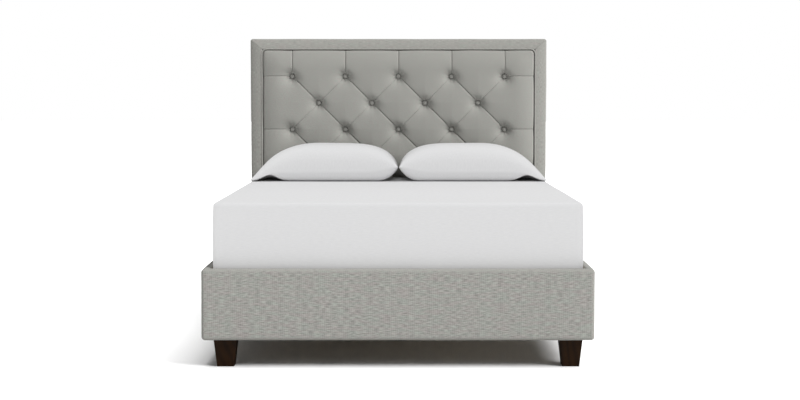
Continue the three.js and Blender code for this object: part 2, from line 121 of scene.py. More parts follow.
@dataclass(frozen=True)
class Span:
    """The lowest and the highest corner of a piece, in metres."""

    low: Vector
    high: Vector

    @classmethod
    def of(cls, *nodes: str) -> "Span":
        """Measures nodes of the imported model.

        Args:
            nodes: The nodes' names.

        Returns:
            The span that holds all of them.
        """
        boxes = [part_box(node) for node in nodes]
        low = Vector(min(box[0][axis] for box in boxes) for axis in range(3))
        high = Vector(max(box[1][axis] for box in boxes) for axis in range(3))
        return cls(low, high)

    @property
    def size(self) -> Vector:
        """Width, depth and height."""
        return self.high - self.low

    @property
    def centre(self) -> Vector:
        """The middle of the span."""
        return (self.low + self.high) / 2

    def grown(self, x: float = 0.0, y: float = 0.0, z: float = 0.0) -> "Span":
        """Moves both ends out by the same margin on each axis.

        Args:
            x: Margin along X, in metres, negative to shrink.
            y: Margin along Y.
            z: Margin along Z.

        Returns:
            The new span.
        """
        margin = Vector((x, y, z))
        return Span(self.low - margin, self.high + margin)


class Bench:
    """Modelling steps that every sub-assembly shares."""

    @staticmethod
    def take(*pieces: bpy.types.Object) -> None:
        """Selects these pieces alone and makes the first one active.

        Args:
            pieces: The pieces to work on.
        """
        bpy.ops.object.select_all(action="DESELECT")
        for piece in pieces:
            piece.select_set(True)
        bpy.context.view_layer.objects.active = pieces[0]

    @staticmethod
    def named(name: str) -> bpy.types.Object:
        """Names the primitive that was just added and fixes its place in its mesh.

        Args:
            name: The piece's name.

        Returns:
            The piece.
        """
        piece = bpy.context.object
        piece.name = name
        piece.data.name = name
        bpy.ops.object.transform_apply(location=True, rotation=True, scale=True)
        return piece

    @staticmethod
    def block(name: str, span: Span) -> bpy.types.Object:
        """Adds a cube stretched to a span, ready to be shaped.

        Args:
            name: The piece's name.
            span: Where its corners are.

        Returns:
            The piece.
        """
        bpy.ops.object.select_all(action="DESELECT")
        bpy.ops.mesh.primitive_cube_add(size=1.0, location=span.centre)
        bpy.context.object.scale = span.size
        return Bench.named(name)

    @staticmethod
    def points(piece: bpy.types.Object) -> np.ndarray:
        """Reads the piece's vertices.

        Args:
            piece: A mesh object at the origin.

        Returns:
            An array of points, one row each.
        """
        flat = np.empty(len(piece.data.vertices) * 3)
        piece.data.vertices.foreach_get("co", flat)
        return flat.reshape(-1, 3)

    @staticmethod
    def normals(piece: bpy.types.Object) -> np.ndarray:
        """Reads the piece's vertex normals.

        Args:
            piece: A mesh object at the origin.

        Returns:
            An array of unit vectors, one row each.
        """
        flat = np.empty(len(piece.data.vertices) * 3)
        piece.data.vertex_normals.foreach_get("vector", flat)
        return flat.reshape(-1, 3)

    @staticmethod
    def place(piece: bpy.types.Object, points: np.ndarray) -> None:
        """Moves the piece's vertices.

        Args:
            piece: A mesh object at the origin.
            points: Where each vertex goes.
        """
        piece.data.vertices.foreach_set("co", points.reshape(-1))
        piece.data.update()

    @staticmethod
    def pick(piece: bpy.types.Object, kind: str, test: Callable[[object], bool]) -> None:
        """Goes into edit mode with some edges or faces selected.

        Args:
            piece: The piece to edit.
            kind: EDGE or FACE.
            test: Says of an edge or a face whether it is taken.
        """
        Bench.take(piece)
        bpy.ops.object.mode_set(mode="EDIT")
        bpy.ops.mesh.select_mode(type=kind)
        bpy.ops.mesh.select_all(action="DESELECT")
        shape = bmesh.from_edit_mesh(piece.data)
        for part in shape.edges if kind == "EDGE" else shape.faces:
            part.select_set(test(part))
        bmesh.update_edit_mesh(piece.data)

    @staticmethod
    def rows(piece: bpy.types.Object, axis: Axis, count: int) -> None:
        """Divides every edge that runs along an axis.

        Args:
            piece: The piece to divide.
            axis: The direction of the edges.
            count: How many parts each edge is divided into, at most 100.
        """
        if count < 2:
            return

        def along(edge: bmesh.types.BMEdge) -> bool:
            """Says whether an edge runs along the axis."""
            run = edge.verts[1].co - edge.verts[0].co
            return abs(run[axis.value]) > 0.99 * run.length

        Bench.pick(piece, "EDGE", along)
        bpy.ops.mesh.subdivide(number_cuts=count - 1)
        bpy.ops.object.mode_set(mode="OBJECT")

    @staticmethod
    def finish_with(piece: bpy.types.Object, kind: str, **settings: object) -> None:
        """Adds a modifier and applies it.

        Args:
            piece: The piece to work on.
            kind: The modifier's type.
            settings: The modifier's own settings.
        """
        Bench.take(piece)
        modifier = piece.modifiers.new(kind.lower(), kind)
        for key, value in settings.items():
            setattr(modifier, key, value)
        bpy.ops.object.modifier_apply(modifier=modifier.name)

    @staticmethod
    def face_out(piece: bpy.types.Object) -> None:
        """Merges doubled vertices and turns every face outwards.

        Args:
            piece: A closed piece.
        """
        Bench.take(piece)
        bpy.ops.object.mode_set(mode="EDIT")
        bpy.ops.mesh.select_all(action="SELECT")
        bpy.ops.mesh.remove_doubles(threshold=0.01 * MM)
        bpy.ops.mesh.normals_make_consistent(inside=False)
        bpy.ops.object.mode_set(mode="OBJECT")

    @staticmethod
    def cover_only(
        piece: bpy.types.Object, gone: Callable[[Vector], bool], thick: float
    ) -> None:
        """Opens a block and leaves a cover of an even thickness.

        Args:
            piece: A closed block.
            gone: Says from a face's middle whether it is removed.
            thick: The cover's thickness, laid inwards.
        """
        Bench.pick(piece, "FACE", lambda face: gone(face.calc_center_median()))
        bpy.ops.mesh.delete(type="FACE")
        bpy.ops.object.mode_set(mode="OBJECT")
        Bench.finish_with(piece, "SOLIDIFY", thickness=thick, offset=-1.0)

    @staticmethod
    def smooth(piece: bpy.types.Object, angle: float = 40.0) -> None:
        """Shades the piece smooth up to an angle.

        Args:
            piece: The piece to shade.
            angle: Sharper edges than this, in degrees, stay crisp.
        """
        Bench.take(piece)
        bpy.ops.object.shade_smooth_by_angle(angle=math.radians(angle))

    @staticmethod
    def joined(name: str, pieces: Sequence[bpy.types.Object]) -> bpy.types.Object:
        """Joins separate solids that are one kind of fastener into one object.

        Args:
            name: The new piece's name.
            pieces: The solids.

        Returns:
            The joined piece.
        """
        Bench.take(*pieces)
        bpy.ops.object.join()
        piece = bpy.context.object
        piece.name = name
        piece.data.name = name
        return piece

    @staticmethod
    def copied(piece: bpy.types.Object, name: str, move: Matrix) -> bpy.types.Object:
        """Copies a piece with a mesh of its own.

        Args:
            piece: The piece to repeat.
            name: The copy's name.
            move: Where the copy's points go.

        Returns:
            The copy.
        """
        twin = piece.copy()
        twin.data = piece.data.copy()
        twin.name = name
        twin.data.name = name
        twin.data.transform(move)
        if move.determinant() < 0:
            twin.data.flip_normals()
        bpy.context.scene.collection.objects.link(twin)
        return twin

    @staticmethod
    def tube(name: str, path: np.ndarray, radius: float, sides: int = 12) -> bpy.types.Object:
        """Makes a closed round tube along a path.

        Args:
            name: The piece's name.
            path: Points along its middle.
            radius: The tube's radius.
            sides: How many sides its section has, a multiple of four.

        Returns:
            The tube as a mesh.
        """
        curve = bpy.data.curves.new(name, "CURVE")
        curve.dimensions = "3D"
        curve.bevel_depth = radius
        curve.bevel_resolution = sides // 4 - 1
        curve.use_fill_caps = True
        line = curve.splines.new("POLY")
        line.points.add(len(path) - 1)
        for point, place in zip(line.points, path):
            point.co = (*place, 1.0)
        piece = bpy.data.objects.new(name, curve)
        bpy.context.scene.collection.objects.link(piece)
        Bench.take(piece)
        bpy.ops.object.convert(target="MESH")
        Bench.face_out(piece)
        return piece

    @staticmethod
    def map_cloth(piece: bpy.types.Object) -> None:
        """Lays a UV map in metres over the piece, each face seen along its main direction.

        Args:
            piece: A cloth piece in its final shape.
        """
        mesh = piece.data
        points = Bench.points(piece)
        corners = np.empty(len(mesh.loops), dtype=np.int64)
        mesh.loops.foreach_get("vertex_index", corners)
        facing = np.empty(len(mesh.polygons) * 3)
        mesh.polygons.foreach_get("normal", facing)
        counts = np.empty(len(mesh.polygons), dtype=np.int64)
        mesh.polygons.foreach_get("loop_total", counts)
        main = np.repeat(np.abs(facing.reshape(-1, 3)).argmax(axis=1), counts)
        across = np.where(main == Axis.X.value, Axis.Y.value, Axis.X.value)
        up = np.where(main == Axis.Z.value, Axis.Y.value, Axis.Z.value)
        place = points[corners]
        index = np.arange(len(corners))
        layer = mesh.uv_layers.get("cloth") or mesh.uv_layers.new(name="cloth")
        uv = np.stack([place[index, across], place[index, up]], axis=1)
        layer.data.foreach_set("uv", uv.reshape(-1))


def ripple(points: np.ndarray, wave: float, seed: int, waves: int = 7) -> np.ndarray:
    """Makes a smooth uneven field from a few crossing waves.

    Args:
        points: Where it is read.
        wave: A typical distance from crest to crest, in metres.
        seed: Chooses the waves, so that the same seed gives the same field.
        waves: How many waves are added up.

    Returns:
        A value from about -1 to 1 for each point.
    """
    rng = np.random.default_rng(seed)
    total = np.zeros(len(points))
    for _ in range(waves):
        direction = rng.normal(size=3)
        direction /= np.linalg.norm(direction)
        length = wave * rng.uniform(0.6, 1.7)
        phase = rng.uniform(0, 2 * math.pi)
        total += np.sin(points @ direction * (2 * math.pi / length) + phase)
    return total / math.sqrt(waves)


def eased(value: np.ndarray, start: float, end: float) -> np.ndarray:
    """Rises smoothly from 0 at start to 1 at end.

    Args:
        value: Where it is read.
        start: Where the rise begins.
        end: Where it is complete, which may be less than start.

    Returns:
        A value from 0 to 1 for each entry.
    """
    t = np.clip((value - start) / (end - start), 0.0, 1.0)
    return t * t * (3 - 2 * t)


def dressed(
    piece: bpy.types.Object,
    material: bpy.types.Material,
    body: str = BODY,
    replaces: Sequence[str] = (),
) -> bpy.types.Object:
    """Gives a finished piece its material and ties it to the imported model.

    Args:
        piece: The piece in its final shape.
        material: Its finish.
        body: The body that it moves with.
        replaces: The nodes that it stands for.

    Returns:
        The same piece.
    """
    piece.data.materials.clear()
    piece.data.materials.append(material)
    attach(piece, body)
    if replaces:
        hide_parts(*replaces)
    log.info("%s: %d faces, rides on %s", piece.name, len(piece.data.polygons), body)
    return piece


def upholstered(
    piece: bpy.types.Object,
    material: bpy.types.Material,
    replaces: Sequence[str] = (),
    angle: float = 60.0,
) -> None:
    """Finishes a padded piece of the bed's frame in its cloth.

    Args:
        piece: The piece in its final shape.
        material: The upholstery cloth.
        replaces: The nodes that it stands for.
        angle: Sharper edges than this, in degrees, stay crisp.
    """
    Bench.map_cloth(piece)
    Bench.smooth(piece, angle)
    dressed(piece, material, replaces=replaces)


# ------------------------------------------------------------------------------ finishes


class Wiring:
    """A node tree that is filled and linked by name."""

    def __init__(self, tree: bpy.types.NodeTree) -> None:
        """Keeps the tree.

        Args:
            tree: The node tree to fill.
        """
        self.tree = tree

    def add(self, kind: str, inputs: Optional[dict] = None, **settings: object) -> bpy.types.Node:
        """Adds a node.

        Args:
            kind: The node's type.
            inputs: Values or output sockets for the node's inputs, by name or index.
            settings: The node's own settings.

        Returns:
            The node.
        """
        node = self.tree.nodes.new(kind)
        for key, value in settings.items():
            setattr(node, key, value)
        for key, value in (inputs or {}).items():
            if isinstance(value, bpy.types.NodeSocket):
                self.tree.links.new(value, node.inputs[key])
            else:
                node.inputs[key].default_value = value
        return node

    def math(self, operation: str, *values: object) -> bpy.types.NodeSocket:
        """Adds a sum, product or other step on numbers.

        Args:
            operation: The step's name.
            values: Numbers or sockets.

        Returns:
            The result's socket.
        """
        inputs = dict(enumerate(values))
        return self.add("ShaderNodeMath", inputs, operation=operation).outputs[0]

    def ramp(self, value: bpy.types.NodeSocket, low: float, high: float) -> bpy.types.NodeSocket:
        """Spreads a value out between two limits.

        Args:
            value: The socket to read.
            low: What becomes 0.
            high: What becomes 1.

        Returns:
            The result's socket, from 0 to 1.
        """
        inputs = {"Value": value, "From Min": low, "From Max": high}
        return self.add("ShaderNodeMapRange", inputs, interpolation_type="SMOOTHSTEP").outputs[0]

    def blend(self, factor: object, first: object, second: object) -> bpy.types.NodeSocket:
        """Mixes two colours.

        Args:
            factor: 0 for the first colour, 1 for the second.
            first: A colour or its socket.
            second: A colour or its socket.

        Returns:
            The mixed colour's socket.
        """
        inputs = {0: factor, 6: first, 7: second}
        return self.add("ShaderNodeMix", inputs, data_type="RGBA").outputs[2]

    def noise(
        self, vector: bpy.types.NodeSocket, scale: float, detail: float = 3.0
    ) -> bpy.types.NodeSocket:
        """Adds a cloudy noise.

        Args:
            vector: The coordinates to read.
            scale: Clouds per metre.
            detail: How many finer layers it has.

        Returns:
            The noise's value, around 0.5.
        """
        inputs = {"Vector": vector, "Scale": scale, "Detail": detail}
        return self.add("ShaderNodeTexNoise", inputs).outputs[0]

    def stretched(
        self, vector: bpy.types.NodeSocket, scale: tuple[float, float, float]
    ) -> bpy.types.NodeSocket:
        """Stretches coordinates before a pattern reads them.

        Args:
            vector: The coordinates.
            scale: The scale along each axis.

        Returns:
            The new coordinates.
        """
        return self.add("ShaderNodeMapping", {"Vector": vector, "Scale": scale}).outputs[0]


Stretch = tuple[float, float, float]

# Clouds per metre along each axis of the cloth: yarns that run across, yarns that run up,
# and the pebbled look of a few yarns together.
WEFT: Stretch = (300.0, 520.0, 1.0)
WARP: Stretch = (520.0, 300.0, 1.0)
PEBBLE: Stretch = (430.0, 290.0, 1.0)
PEBBLE_STRENGTH = 3.4
YARN_WANDER = 0.0011


class Effect(Enum):
    """Patterns that several finishes share, each a node group."""

    WEAVE = "weave"
    GRAIN = "grain"
    MOTTLE = "mottle"


class Effects:
    """Builds each shared node group once."""

    def __init__(self) -> None:
        """Builds the groups."""
        self.groups = {
            Effect.WEAVE: self._weave(),
            Effect.GRAIN: self._grain(),
            Effect.MOTTLE: self._mottle(),
        }

    @staticmethod
    def _group(
        effect: Effect, inputs: Sequence[tuple[str, str]], outputs: Sequence[tuple[str, str]]
    ) -> tuple[bpy.types.NodeTree, Wiring, bpy.types.Node, bpy.types.Node]:
        """Starts a node group with its sockets.

        Args:
            effect: The effect that it makes.
            inputs: Name and kind of each input.
            outputs: Name and kind of each output.

        Returns:
            The group, its wiring, and its input and output nodes.
        """
        tree = bpy.data.node_groups.new(effect.value, "ShaderNodeTree")
        for direction, sockets in (("INPUT", inputs), ("OUTPUT", outputs)):
            for name, kind in sockets:
                tree.interface.new_socket(name, in_out=direction, socket_type=f"NodeSocket{kind}")
        wiring = Wiring(tree)
        entry = wiring.add("NodeGroupInput")
        leave = wiring.add("NodeGroupOutput")
        return tree, wiring, entry, leave

    def _weave(self) -> bpy.types.NodeTree:
        """Makes plain-woven cloth with uneven yarns.

        Returns:
            A group that gives colour, height and the yarns' tone from coordinates in metres.
        """
        tree, wire, entry, leave = self._group(
            Effect.WEAVE,
            [
                ("Vector", "Vector"),
                ("Threads", "Float"),
                ("Slub", "Float"),
                ("Heather", "Float"),
                ("Light", "Color"),
                ("Dark", "Color"),
            ],
            [("Color", "Color"), ("Height", "Float"), ("Pile", "Float")],
        )
        vector = entry.outputs["Vector"]
        wobble = wire.noise(vector, 90.0, 2.0)
        shift = wire.math("MULTIPLY", wire.math("SUBTRACT", wobble, 0.5), YARN_WANDER)
        axes = wire.add("ShaderNodeSeparateXYZ", {"Vector": vector})
        turns = wire.math("MULTIPLY", entry.outputs["Threads"], math.pi)
        waves = []
        for axis in ("X", "Y"):
            place = wire.math("ADD", axes.outputs[axis], shift)
            waves.append(wire.math("SINE", wire.math("MULTIPLY", place, turns)))
        over = wire.math("MULTIPLY", waves[0], waves[1])
        crown = wire.math("ABSOLUTE", over)
        flat = wire.add(
            "ShaderNodeCombineXYZ", {"X": axes.outputs["X"], "Y": axes.outputs["Y"], "Z": 0.0}
        ).outputs[0]
        weft = wire.noise(wire.stretched(flat, WEFT), 1.0, 3.0)
        warp = wire.noise(wire.stretched(flat, WARP), 1.0, 3.0)
        side = wire.ramp(over, -0.25, 0.25)
        yarn = wire.add("ShaderNodeMix", {0: side, 2: weft, 3: warp}, data_type="FLOAT").outputs[0]
        pebble = wire.noise(wire.stretched(flat, PEBBLE), 1.0, 3.0)
        pebble = wire.math("MULTIPLY", wire.math("SUBTRACT", pebble, 0.5), PEBBLE_STRENGTH)
        uneven = wire.math("ADD", wire.math("SUBTRACT", yarn, 0.5), pebble)
        uneven = wire.math("MULTIPLY", uneven, entry.outputs["Slub"])
        gap = wire.math("MULTIPLY", wire.math("SUBTRACT", crown, 0.4), 0.35)
        tone = wire.math("ADD", wire.math("ADD", uneven, gap), 0.5)
        tone = wire.add("ShaderNodeClamp", {"Value": tone}).outputs[0]
        colour = wire.blend(tone, entry.outputs["Dark"], entry.outputs["Light"])
        tint = wire.blend(
            wire.ramp(wire.noise(flat, 105.0, 4.0), 0.34, 0.66),
            (1.0, 0.93, 0.91, 1.0),
            (0.93, 1.0, 0.93, 1.0),
        )
        colour = wire.add(
            "ShaderNodeMix",
            {0: entry.outputs["Heather"], 6: colour, 7: tint},
            data_type="RGBA",
            blend_type="MULTIPLY",
        ).outputs[2]
        relief = wire.math("MULTIPLY", uneven, 0.08)
        height = wire.math("ADD", wire.math("MULTIPLY", crown, 0.5), relief)
        for name, socket in (("Color", colour), ("Height", height), ("Pile", tone)):
            tree.links.new(socket, leave.inputs[name])
        return tree

    def _grain(self) -> bpy.types.NodeTree:
        """Makes wood grain that runs along the coordinates' X.

        Returns:
            A group that gives colour, height and a figure mask.
        """
        tree, wire, entry, leave = self._group(
            Effect.GRAIN,
            [("Vector", "Vector"), ("Rings", "Float"), ("Light", "Color"), ("Dark", "Color")],
            [("Color", "Color"), ("Height", "Float"), ("Figure", "Float")],
        )
        vector = entry.outputs["Vector"]
        drift = wire.noise(wire.stretched(vector, (1.6, 7.0, 7.0)), 1.0, 2.0)
        axes = wire.add("ShaderNodeSeparateXYZ", {"Vector": vector})
        slant = wire.math("MULTIPLY", axes.outputs["Z"], 0.35)
        across = wire.math("ADD", axes.outputs["Y"], slant)
        phase = wire.math("MULTIPLY", across, entry.outputs["Rings"])
        phase = wire.math("ADD", phase, wire.math("MULTIPLY", drift, 26.0))
        rings = wire.math("MULTIPLY", wire.math("SINE", phase), 0.5)
        rings = wire.math("ADD", rings, 0.5)
        fibre = wire.noise(wire.stretched(vector, (14.0, 900.0, 900.0)), 1.0, 3.0)
        cloud = wire.noise(wire.stretched(vector, (3.0, 22.0, 22.0)), 1.0, 3.0)
        figure = wire.math("MULTIPLY", wire.math("POWER", rings, 1.6), 0.5)
        figure = wire.math("ADD", figure, wire.math("MULTIPLY", fibre, 0.32))
        figure = wire.math("ADD", figure, wire.math("MULTIPLY", cloud, 0.3))
        figure = wire.ramp(figure, 0.2, 0.95)
        colour = wire.blend(figure, entry.outputs["Light"], entry.outputs["Dark"])
        height = wire.math("MULTIPLY", fibre, -1.0)
        for name, socket in (("Color", colour), ("Height", height), ("Figure", figure)):
            tree.links.new(socket, leave.inputs[name])
        return tree

    def _mottle(self) -> bpy.types.NodeTree:
        """Makes soft patches of tone and a fine tooth for painted, moulded and knitted skins.

        Returns:
            A group that gives colour, height and a patch mask.
        """
        tree, wire, entry, leave = self._group(
            Effect.MOTTLE,
            [
                ("Vector", "Vector"),
                ("Patch", "Float"),
                ("Tooth", "Float"),
                ("Light", "Color"),
                ("Dark", "Color"),
            ],
            [("Color", "Color"), ("Height", "Float"), ("Patches", "Float")],
        )
        vector = entry.outputs["Vector"]
        settings = {"Vector": vector, "Detail": 3.0}
        cloud = wire.add("ShaderNodeTexNoise", {**settings, "Scale": entry.outputs["Patch"]})
        tooth = wire.add("ShaderNodeTexNoise", {**settings, "Scale": entry.outputs["Tooth"]})
        patches = wire.ramp(cloud.outputs[0], 0.3, 0.7)
        mixed = wire.math("MULTIPLY", wire.math("SUBTRACT", tooth.outputs[0], 0.5), 0.8)
        tone = wire.add("ShaderNodeClamp", {"Value": wire.math("ADD", patches, mixed)}).outputs[0]
        colour = wire.blend(tone, entry.outputs["Dark"], entry.outputs["Light"])
        for name, socket in (("Color", colour), ("Height", tooth.outputs[0]), ("Patches", patches)):
            tree.links.new(socket, leave.inputs[name])
        return tree


class Placing(Enum):
    """What a finish's pattern is fixed to."""

    CLOTH = "UV"
    SOLID = "Object"


@dataclass(frozen=True)
class Finish:
    """One finish: a shared pattern, its colours, and how the surface takes light."""

    name: str
    effect: Effect
    light: tuple[float, float, float]
    dark: tuple[float, float, float]
    pattern: dict[str, float]
    placing: Placing = Placing.SOLID
    along: Axis = Axis.X
    roughness: tuple[float, float] = (0.6, 0.8)
    metallic: float = 0.0
    bump: float = 0.3
    depth: float = 0.0004
    sheen: float = 0.0
    specular: float = 0.5

    def material(self, effects: Effects) -> bpy.types.Material:
        """Builds the finish as a material.

        Args:
            effects: The shared node groups.

        Returns:
            The material.
        """
        material = bpy.data.materials.new(self.name)
        material.use_nodes = True
        tree = material.node_tree
        tree.nodes.clear()
        wire = Wiring(tree)
        place = wire.add("ShaderNodeTexCoord").outputs[self.placing.value]
        if self.placing is Placing.SOLID and self.along is not Axis.X:
            turn = (0.0, 0.0, math.pi / 2) if self.along is Axis.Y else (0.0, math.pi / 2, 0.0)
            place = wire.add("ShaderNodeMapping", {"Vector": place, "Rotation": turn}).outputs[0]
        group = wire.add("ShaderNodeGroup", node_tree=effects.groups[self.effect])
        tree.links.new(place, group.inputs["Vector"])
        for key, value in self.pattern.items():
            group.inputs[key].default_value = value
        group.inputs["Light"].default_value = (*self.light, 1.0)
        group.inputs["Dark"].default_value = (*self.dark, 1.0)
        low, high = self.roughness
        rough = wire.add(
            "ShaderNodeMapRange", {"Value": group.outputs[2], "To Min": high, "To Max": low}
        ).outputs[0]
        bump = wire.add(
            "ShaderNodeBump",
            {"Strength": self.bump, "Distance": self.depth, "Height": group.outputs["Height"]},
        ).outputs[0]
        shader = wire.add(
            "ShaderNodeBsdfPrincipled",
            {
                "Base Color": group.outputs["Color"],
                "Roughness": rough,
                "Normal": bump,
                "Metallic": self.metallic,
                "Sheen Weight": self.sheen,
                "Sheen Roughness": 0.5,
                "Specular IOR Level": self.specular,
            },
        )
        wire.add("ShaderNodeOutputMaterial", {"Surface": shader.outputs[0]})
        return material


def pine(along: Axis) -> Finish:
    """Raw planed pine with its grain along one axis.

    Args:
        along: The way the board runs.

    Returns:
        The finish.
    """
    return Finish(
        name=f"pine_along_{along.name.lower()}",
        effect=Effect.GRAIN,
        light=(0.60, 0.52, 0.40),
        dark=(0.44, 0.35, 0.24),
        pattern={"Rings": 260.0},
        along=along,
        roughness=(0.55, 0.75),
        bump=0.25,
    )


UPHOLSTERY = Finish(
    name="grey_woven_cloth",
    effect=Effect.WEAVE,
    light=(0.445, 0.442, 0.422),
    dark=(0.232, 0.229, 0.22),
    pattern={"Threads": 900.0, "Slub": 0.7, "Heather": 0.65},
    placing=Placing.CLOTH,
    roughness=(0.85, 0.98),
    bump=0.6,
    depth=0.0005,
    sheen=0.1,
    specular=0.2,
)
DUST_COVER = Finish(
    name="black_dust_cloth",
    effect=Effect.MOTTLE,
    light=(0.0455, 0.0455, 0.0475),
    dark=(0.0405, 0.0405, 0.0425),
    pattern={"Patch": 160.0, "Tooth": 700.0},
    roughness=(0.85, 0.97),
    bump=0.5,
    specular=0.2,
)
LEG_STAIN = Finish(
    name="espresso_stained_wood",
    effect=Effect.GRAIN,
    light=(0.0240, 0.0102, 0.0034),
    dark=(0.0138, 0.0056, 0.0019),
    pattern={"Rings": 420.0},
    along=Axis.Z,
    roughness=(0.42, 0.55),
    bump=0.12,
    specular=0.1,
)
PLYWOOD = Finish(
    name="raw_plywood",
    effect=Effect.GRAIN,
    light=(0.56, 0.41, 0.25),
    dark=(0.38, 0.25, 0.13),
    pattern={"Rings": 60.0},
    roughness=(0.65, 0.85),
)
POWDER_COAT = Finish(
    name="black_powder_coat",
    effect=Effect.MOTTLE,
    light=(0.035, 0.035, 0.037),
    dark=(0.018, 0.018, 0.019),
    pattern={"Patch": 30.0, "Tooth": 1400.0},
    roughness=(0.38, 0.52),
    bump=0.35,
    depth=0.0002,
)
BRIGHT_STEEL = Finish(
    name="zinc_plated_steel",
    effect=Effect.MOTTLE,
    light=(0.62, 0.62, 0.60),
    dark=(0.42, 0.42, 0.41),
    pattern={"Patch": 120.0, "Tooth": 2000.0},
    roughness=(0.25, 0.42),
    metallic=1.0,
    bump=0.1,
    depth=0.0001,
)
NYLON = Finish(
    name="moulded_nylon",
    effect=Effect.MOTTLE,
    light=(0.03, 0.03, 0.031),
    dark=(0.016, 0.016, 0.017),
    pattern={"Patch": 60.0, "Tooth": 2600.0},
    roughness=(0.42, 0.55),
    bump=0.2,
    depth=0.0001,
)
PERCALE = Finish(
    name="white_percale",
    effect=Effect.WEAVE,
    light=(0.715, 0.715, 0.72),
    dark=(0.65, 0.65, 0.655),
    pattern={"Threads": 2600.0, "Slub": 0.35},
    placing=Placing.CLOTH,
    roughness=(0.8, 0.95),
    bump=0.2,
    depth=0.0001,
    sheen=0.05,
    specular=0.2,
)
TICKING = Finish(
    name="knitted_ticking",
    effect=Effect.WEAVE,
    light=(0.80, 0.80, 0.78),
    dark=(0.66, 0.66, 0.65),
    pattern={"Threads": 500.0, "Slub": 0.4},
    placing=Placing.CLOTH,
    roughness=(0.8, 0.95),
    bump=0.6,
    depth=0.0006,
)


class Finishes:
    """Every material of the bed."""

    def __init__(self) -> None:
        """Builds all the materials."""
        effects = Effects()
        self.upholstery = UPHOLSTERY.material(effects)
        self.dust_cover = DUST_COVER.material(effects)
        self.leg_stain = LEG_STAIN.material(effects)
        self.plywood = PLYWOOD.material(effects)
        self.powder_coat = POWDER_COAT.material(effects)
        self.bright_steel = BRIGHT_STEEL.material(effects)
        self.nylon = NYLON.material(effects)
        self.percale = PERCALE.material(effects)
        self.ticking = TICKING.material(effects)
        self.pine = {axis: pine(axis).material(effects) for axis in Axis}


# ------------------------------------------------------------------------------ padding


@dataclass
class Pad:
    """A cloth-covered block with round corners in its outline and round edges."""

    name: str
    span: Span
    cells: tuple[int, int, int]
    depth: Axis
    corner: float
    edge: float
    rim_rows: int = 4

    def build(self) -> bpy.types.Object:
        """Divides a block into cloth-sized faces and rounds it.

        Returns:
            The closed pad.
        """
        piece = Bench.block(self.name, self.span)
        for axis in Axis:
            Bench.rows(piece, axis, self.cells[axis.value])
        Bench.place(piece, self._rounded(self._crowded(Bench.points(piece))))
        return piece

    def _crowded(self, points: np.ndarray) -> np.ndarray:
        """Draws rows of vertices together near the edges that will be rounded.

        Args:
            points: Evenly spaced points.

        Returns:
            The same points, closer together near the edges.
        """
        moved = points.copy()
        for axis in Axis:
            i = axis.value
            rim = self.edge if axis is self.depth else max(self.corner, self.edge)
            half = self.span.size[i] / 2
            count = self.cells[i] / 2
            if rim >= half or count <= self.rim_rows:
                continue
            offset = points[:, i] - self.span.centre[i]
            row = count * (1 - np.abs(offset) / half)
            inner = rim + (half - rim) * (row - self.rim_rows) / (count - self.rim_rows)
            inset = np.where(row <= self.rim_rows, rim * row / self.rim_rows, inner)
            moved[:, i] = self.span.centre[i] + np.sign(offset) * (half - inset)
        return moved

    def _rounded(self, points: np.ndarray) -> np.ndarray:
        """Rounds the outline's corners, then the edges all round it.

        Args:
            points: Points on a sharp block.

        Returns:
            Points on the rounded block.
        """
        plan = [axis.value for axis in Axis if axis is not self.depth]
        deep = self.depth.value
        radius = max(self.corner, self.edge)
        low, high = np.array(self.span.low), np.array(self.span.high)
        core = np.clip(points[:, plan], low[plan] + radius, high[plan] - radius)
        arm = points[:, plan] - core
        reach = np.abs(arm).max(axis=1)
        length = np.linalg.norm(arm, axis=1)
        unit = arm / np.maximum(length, 1e-9)[:, None]
        inset = radius - reach
        middle = (low[deep] + high[deep]) / 2
        drop = (high[deep] - low[deep]) / 2 - np.abs(points[:, deep] - middle)
        side = self.edge - np.minimum(inset, self.edge)
        rise = self.edge - np.minimum(drop, self.edge)
        norm = np.maximum(np.hypot(side, rise), 1e-9)
        near = (side > 0) & (rise > 0)
        inset = np.where(near, self.edge - side / norm * self.edge, inset)
        drop = np.where(near, self.edge - rise / norm * self.edge, drop)
        moved = points.copy()
        moved[:, plan] = core + unit * (radius - inset)[:, None]
        moved[:, deep] = middle + np.sign(points[:, deep] - middle) * (
            (high[deep] - low[deep]) / 2 - drop
        )
        return moved


def swollen(
    points: np.ndarray, span: Span, axis: Axis, sign: float, height: float, power: float = 4.0
) -> np.ndarray:
    """Crowns one face of a pad.

    Args:
        points: The pad's points.
        span: The pad's span.
        axis: The way that the face looks.
        sign: 1 or -1 along that axis.
        height: How far the middle of the face stands out.
        power: How square the crown is.

    Returns:
        The moved points.
    """
    low, size = np.array(span.low), np.array(span.size)
    share = 2 * (points - low) / size - 1
    crown = np.ones(len(points))
    for other in Axis:
        if other is not axis:
            crown *= 1 - np.abs(np.clip(share[:, other.value], -1, 1)) ** power
    moved = points.copy()
    forward = np.clip((sign * share[:, axis.value] + 1) / 2, 0, 1)
    moved[:, axis.value] += sign * height * crown * forward
    return moved


def uneven(piece: bpy.types.Object, wave: float, height: float, seed: int) -> None:
    """Lets the stuffing show through as slight hollows and rises.

    Args:
        piece: A padded piece.
        wave: A typical distance between rises.
        height: How high they are.
        seed: Chooses them.
    """
    points = Bench.points(piece)
    lift = ripple(points, wave, seed) * height
    Bench.place(piece, points + Bench.normals(piece) * lift[:, None])


# ------------------------------------------------------------------------------ headboard


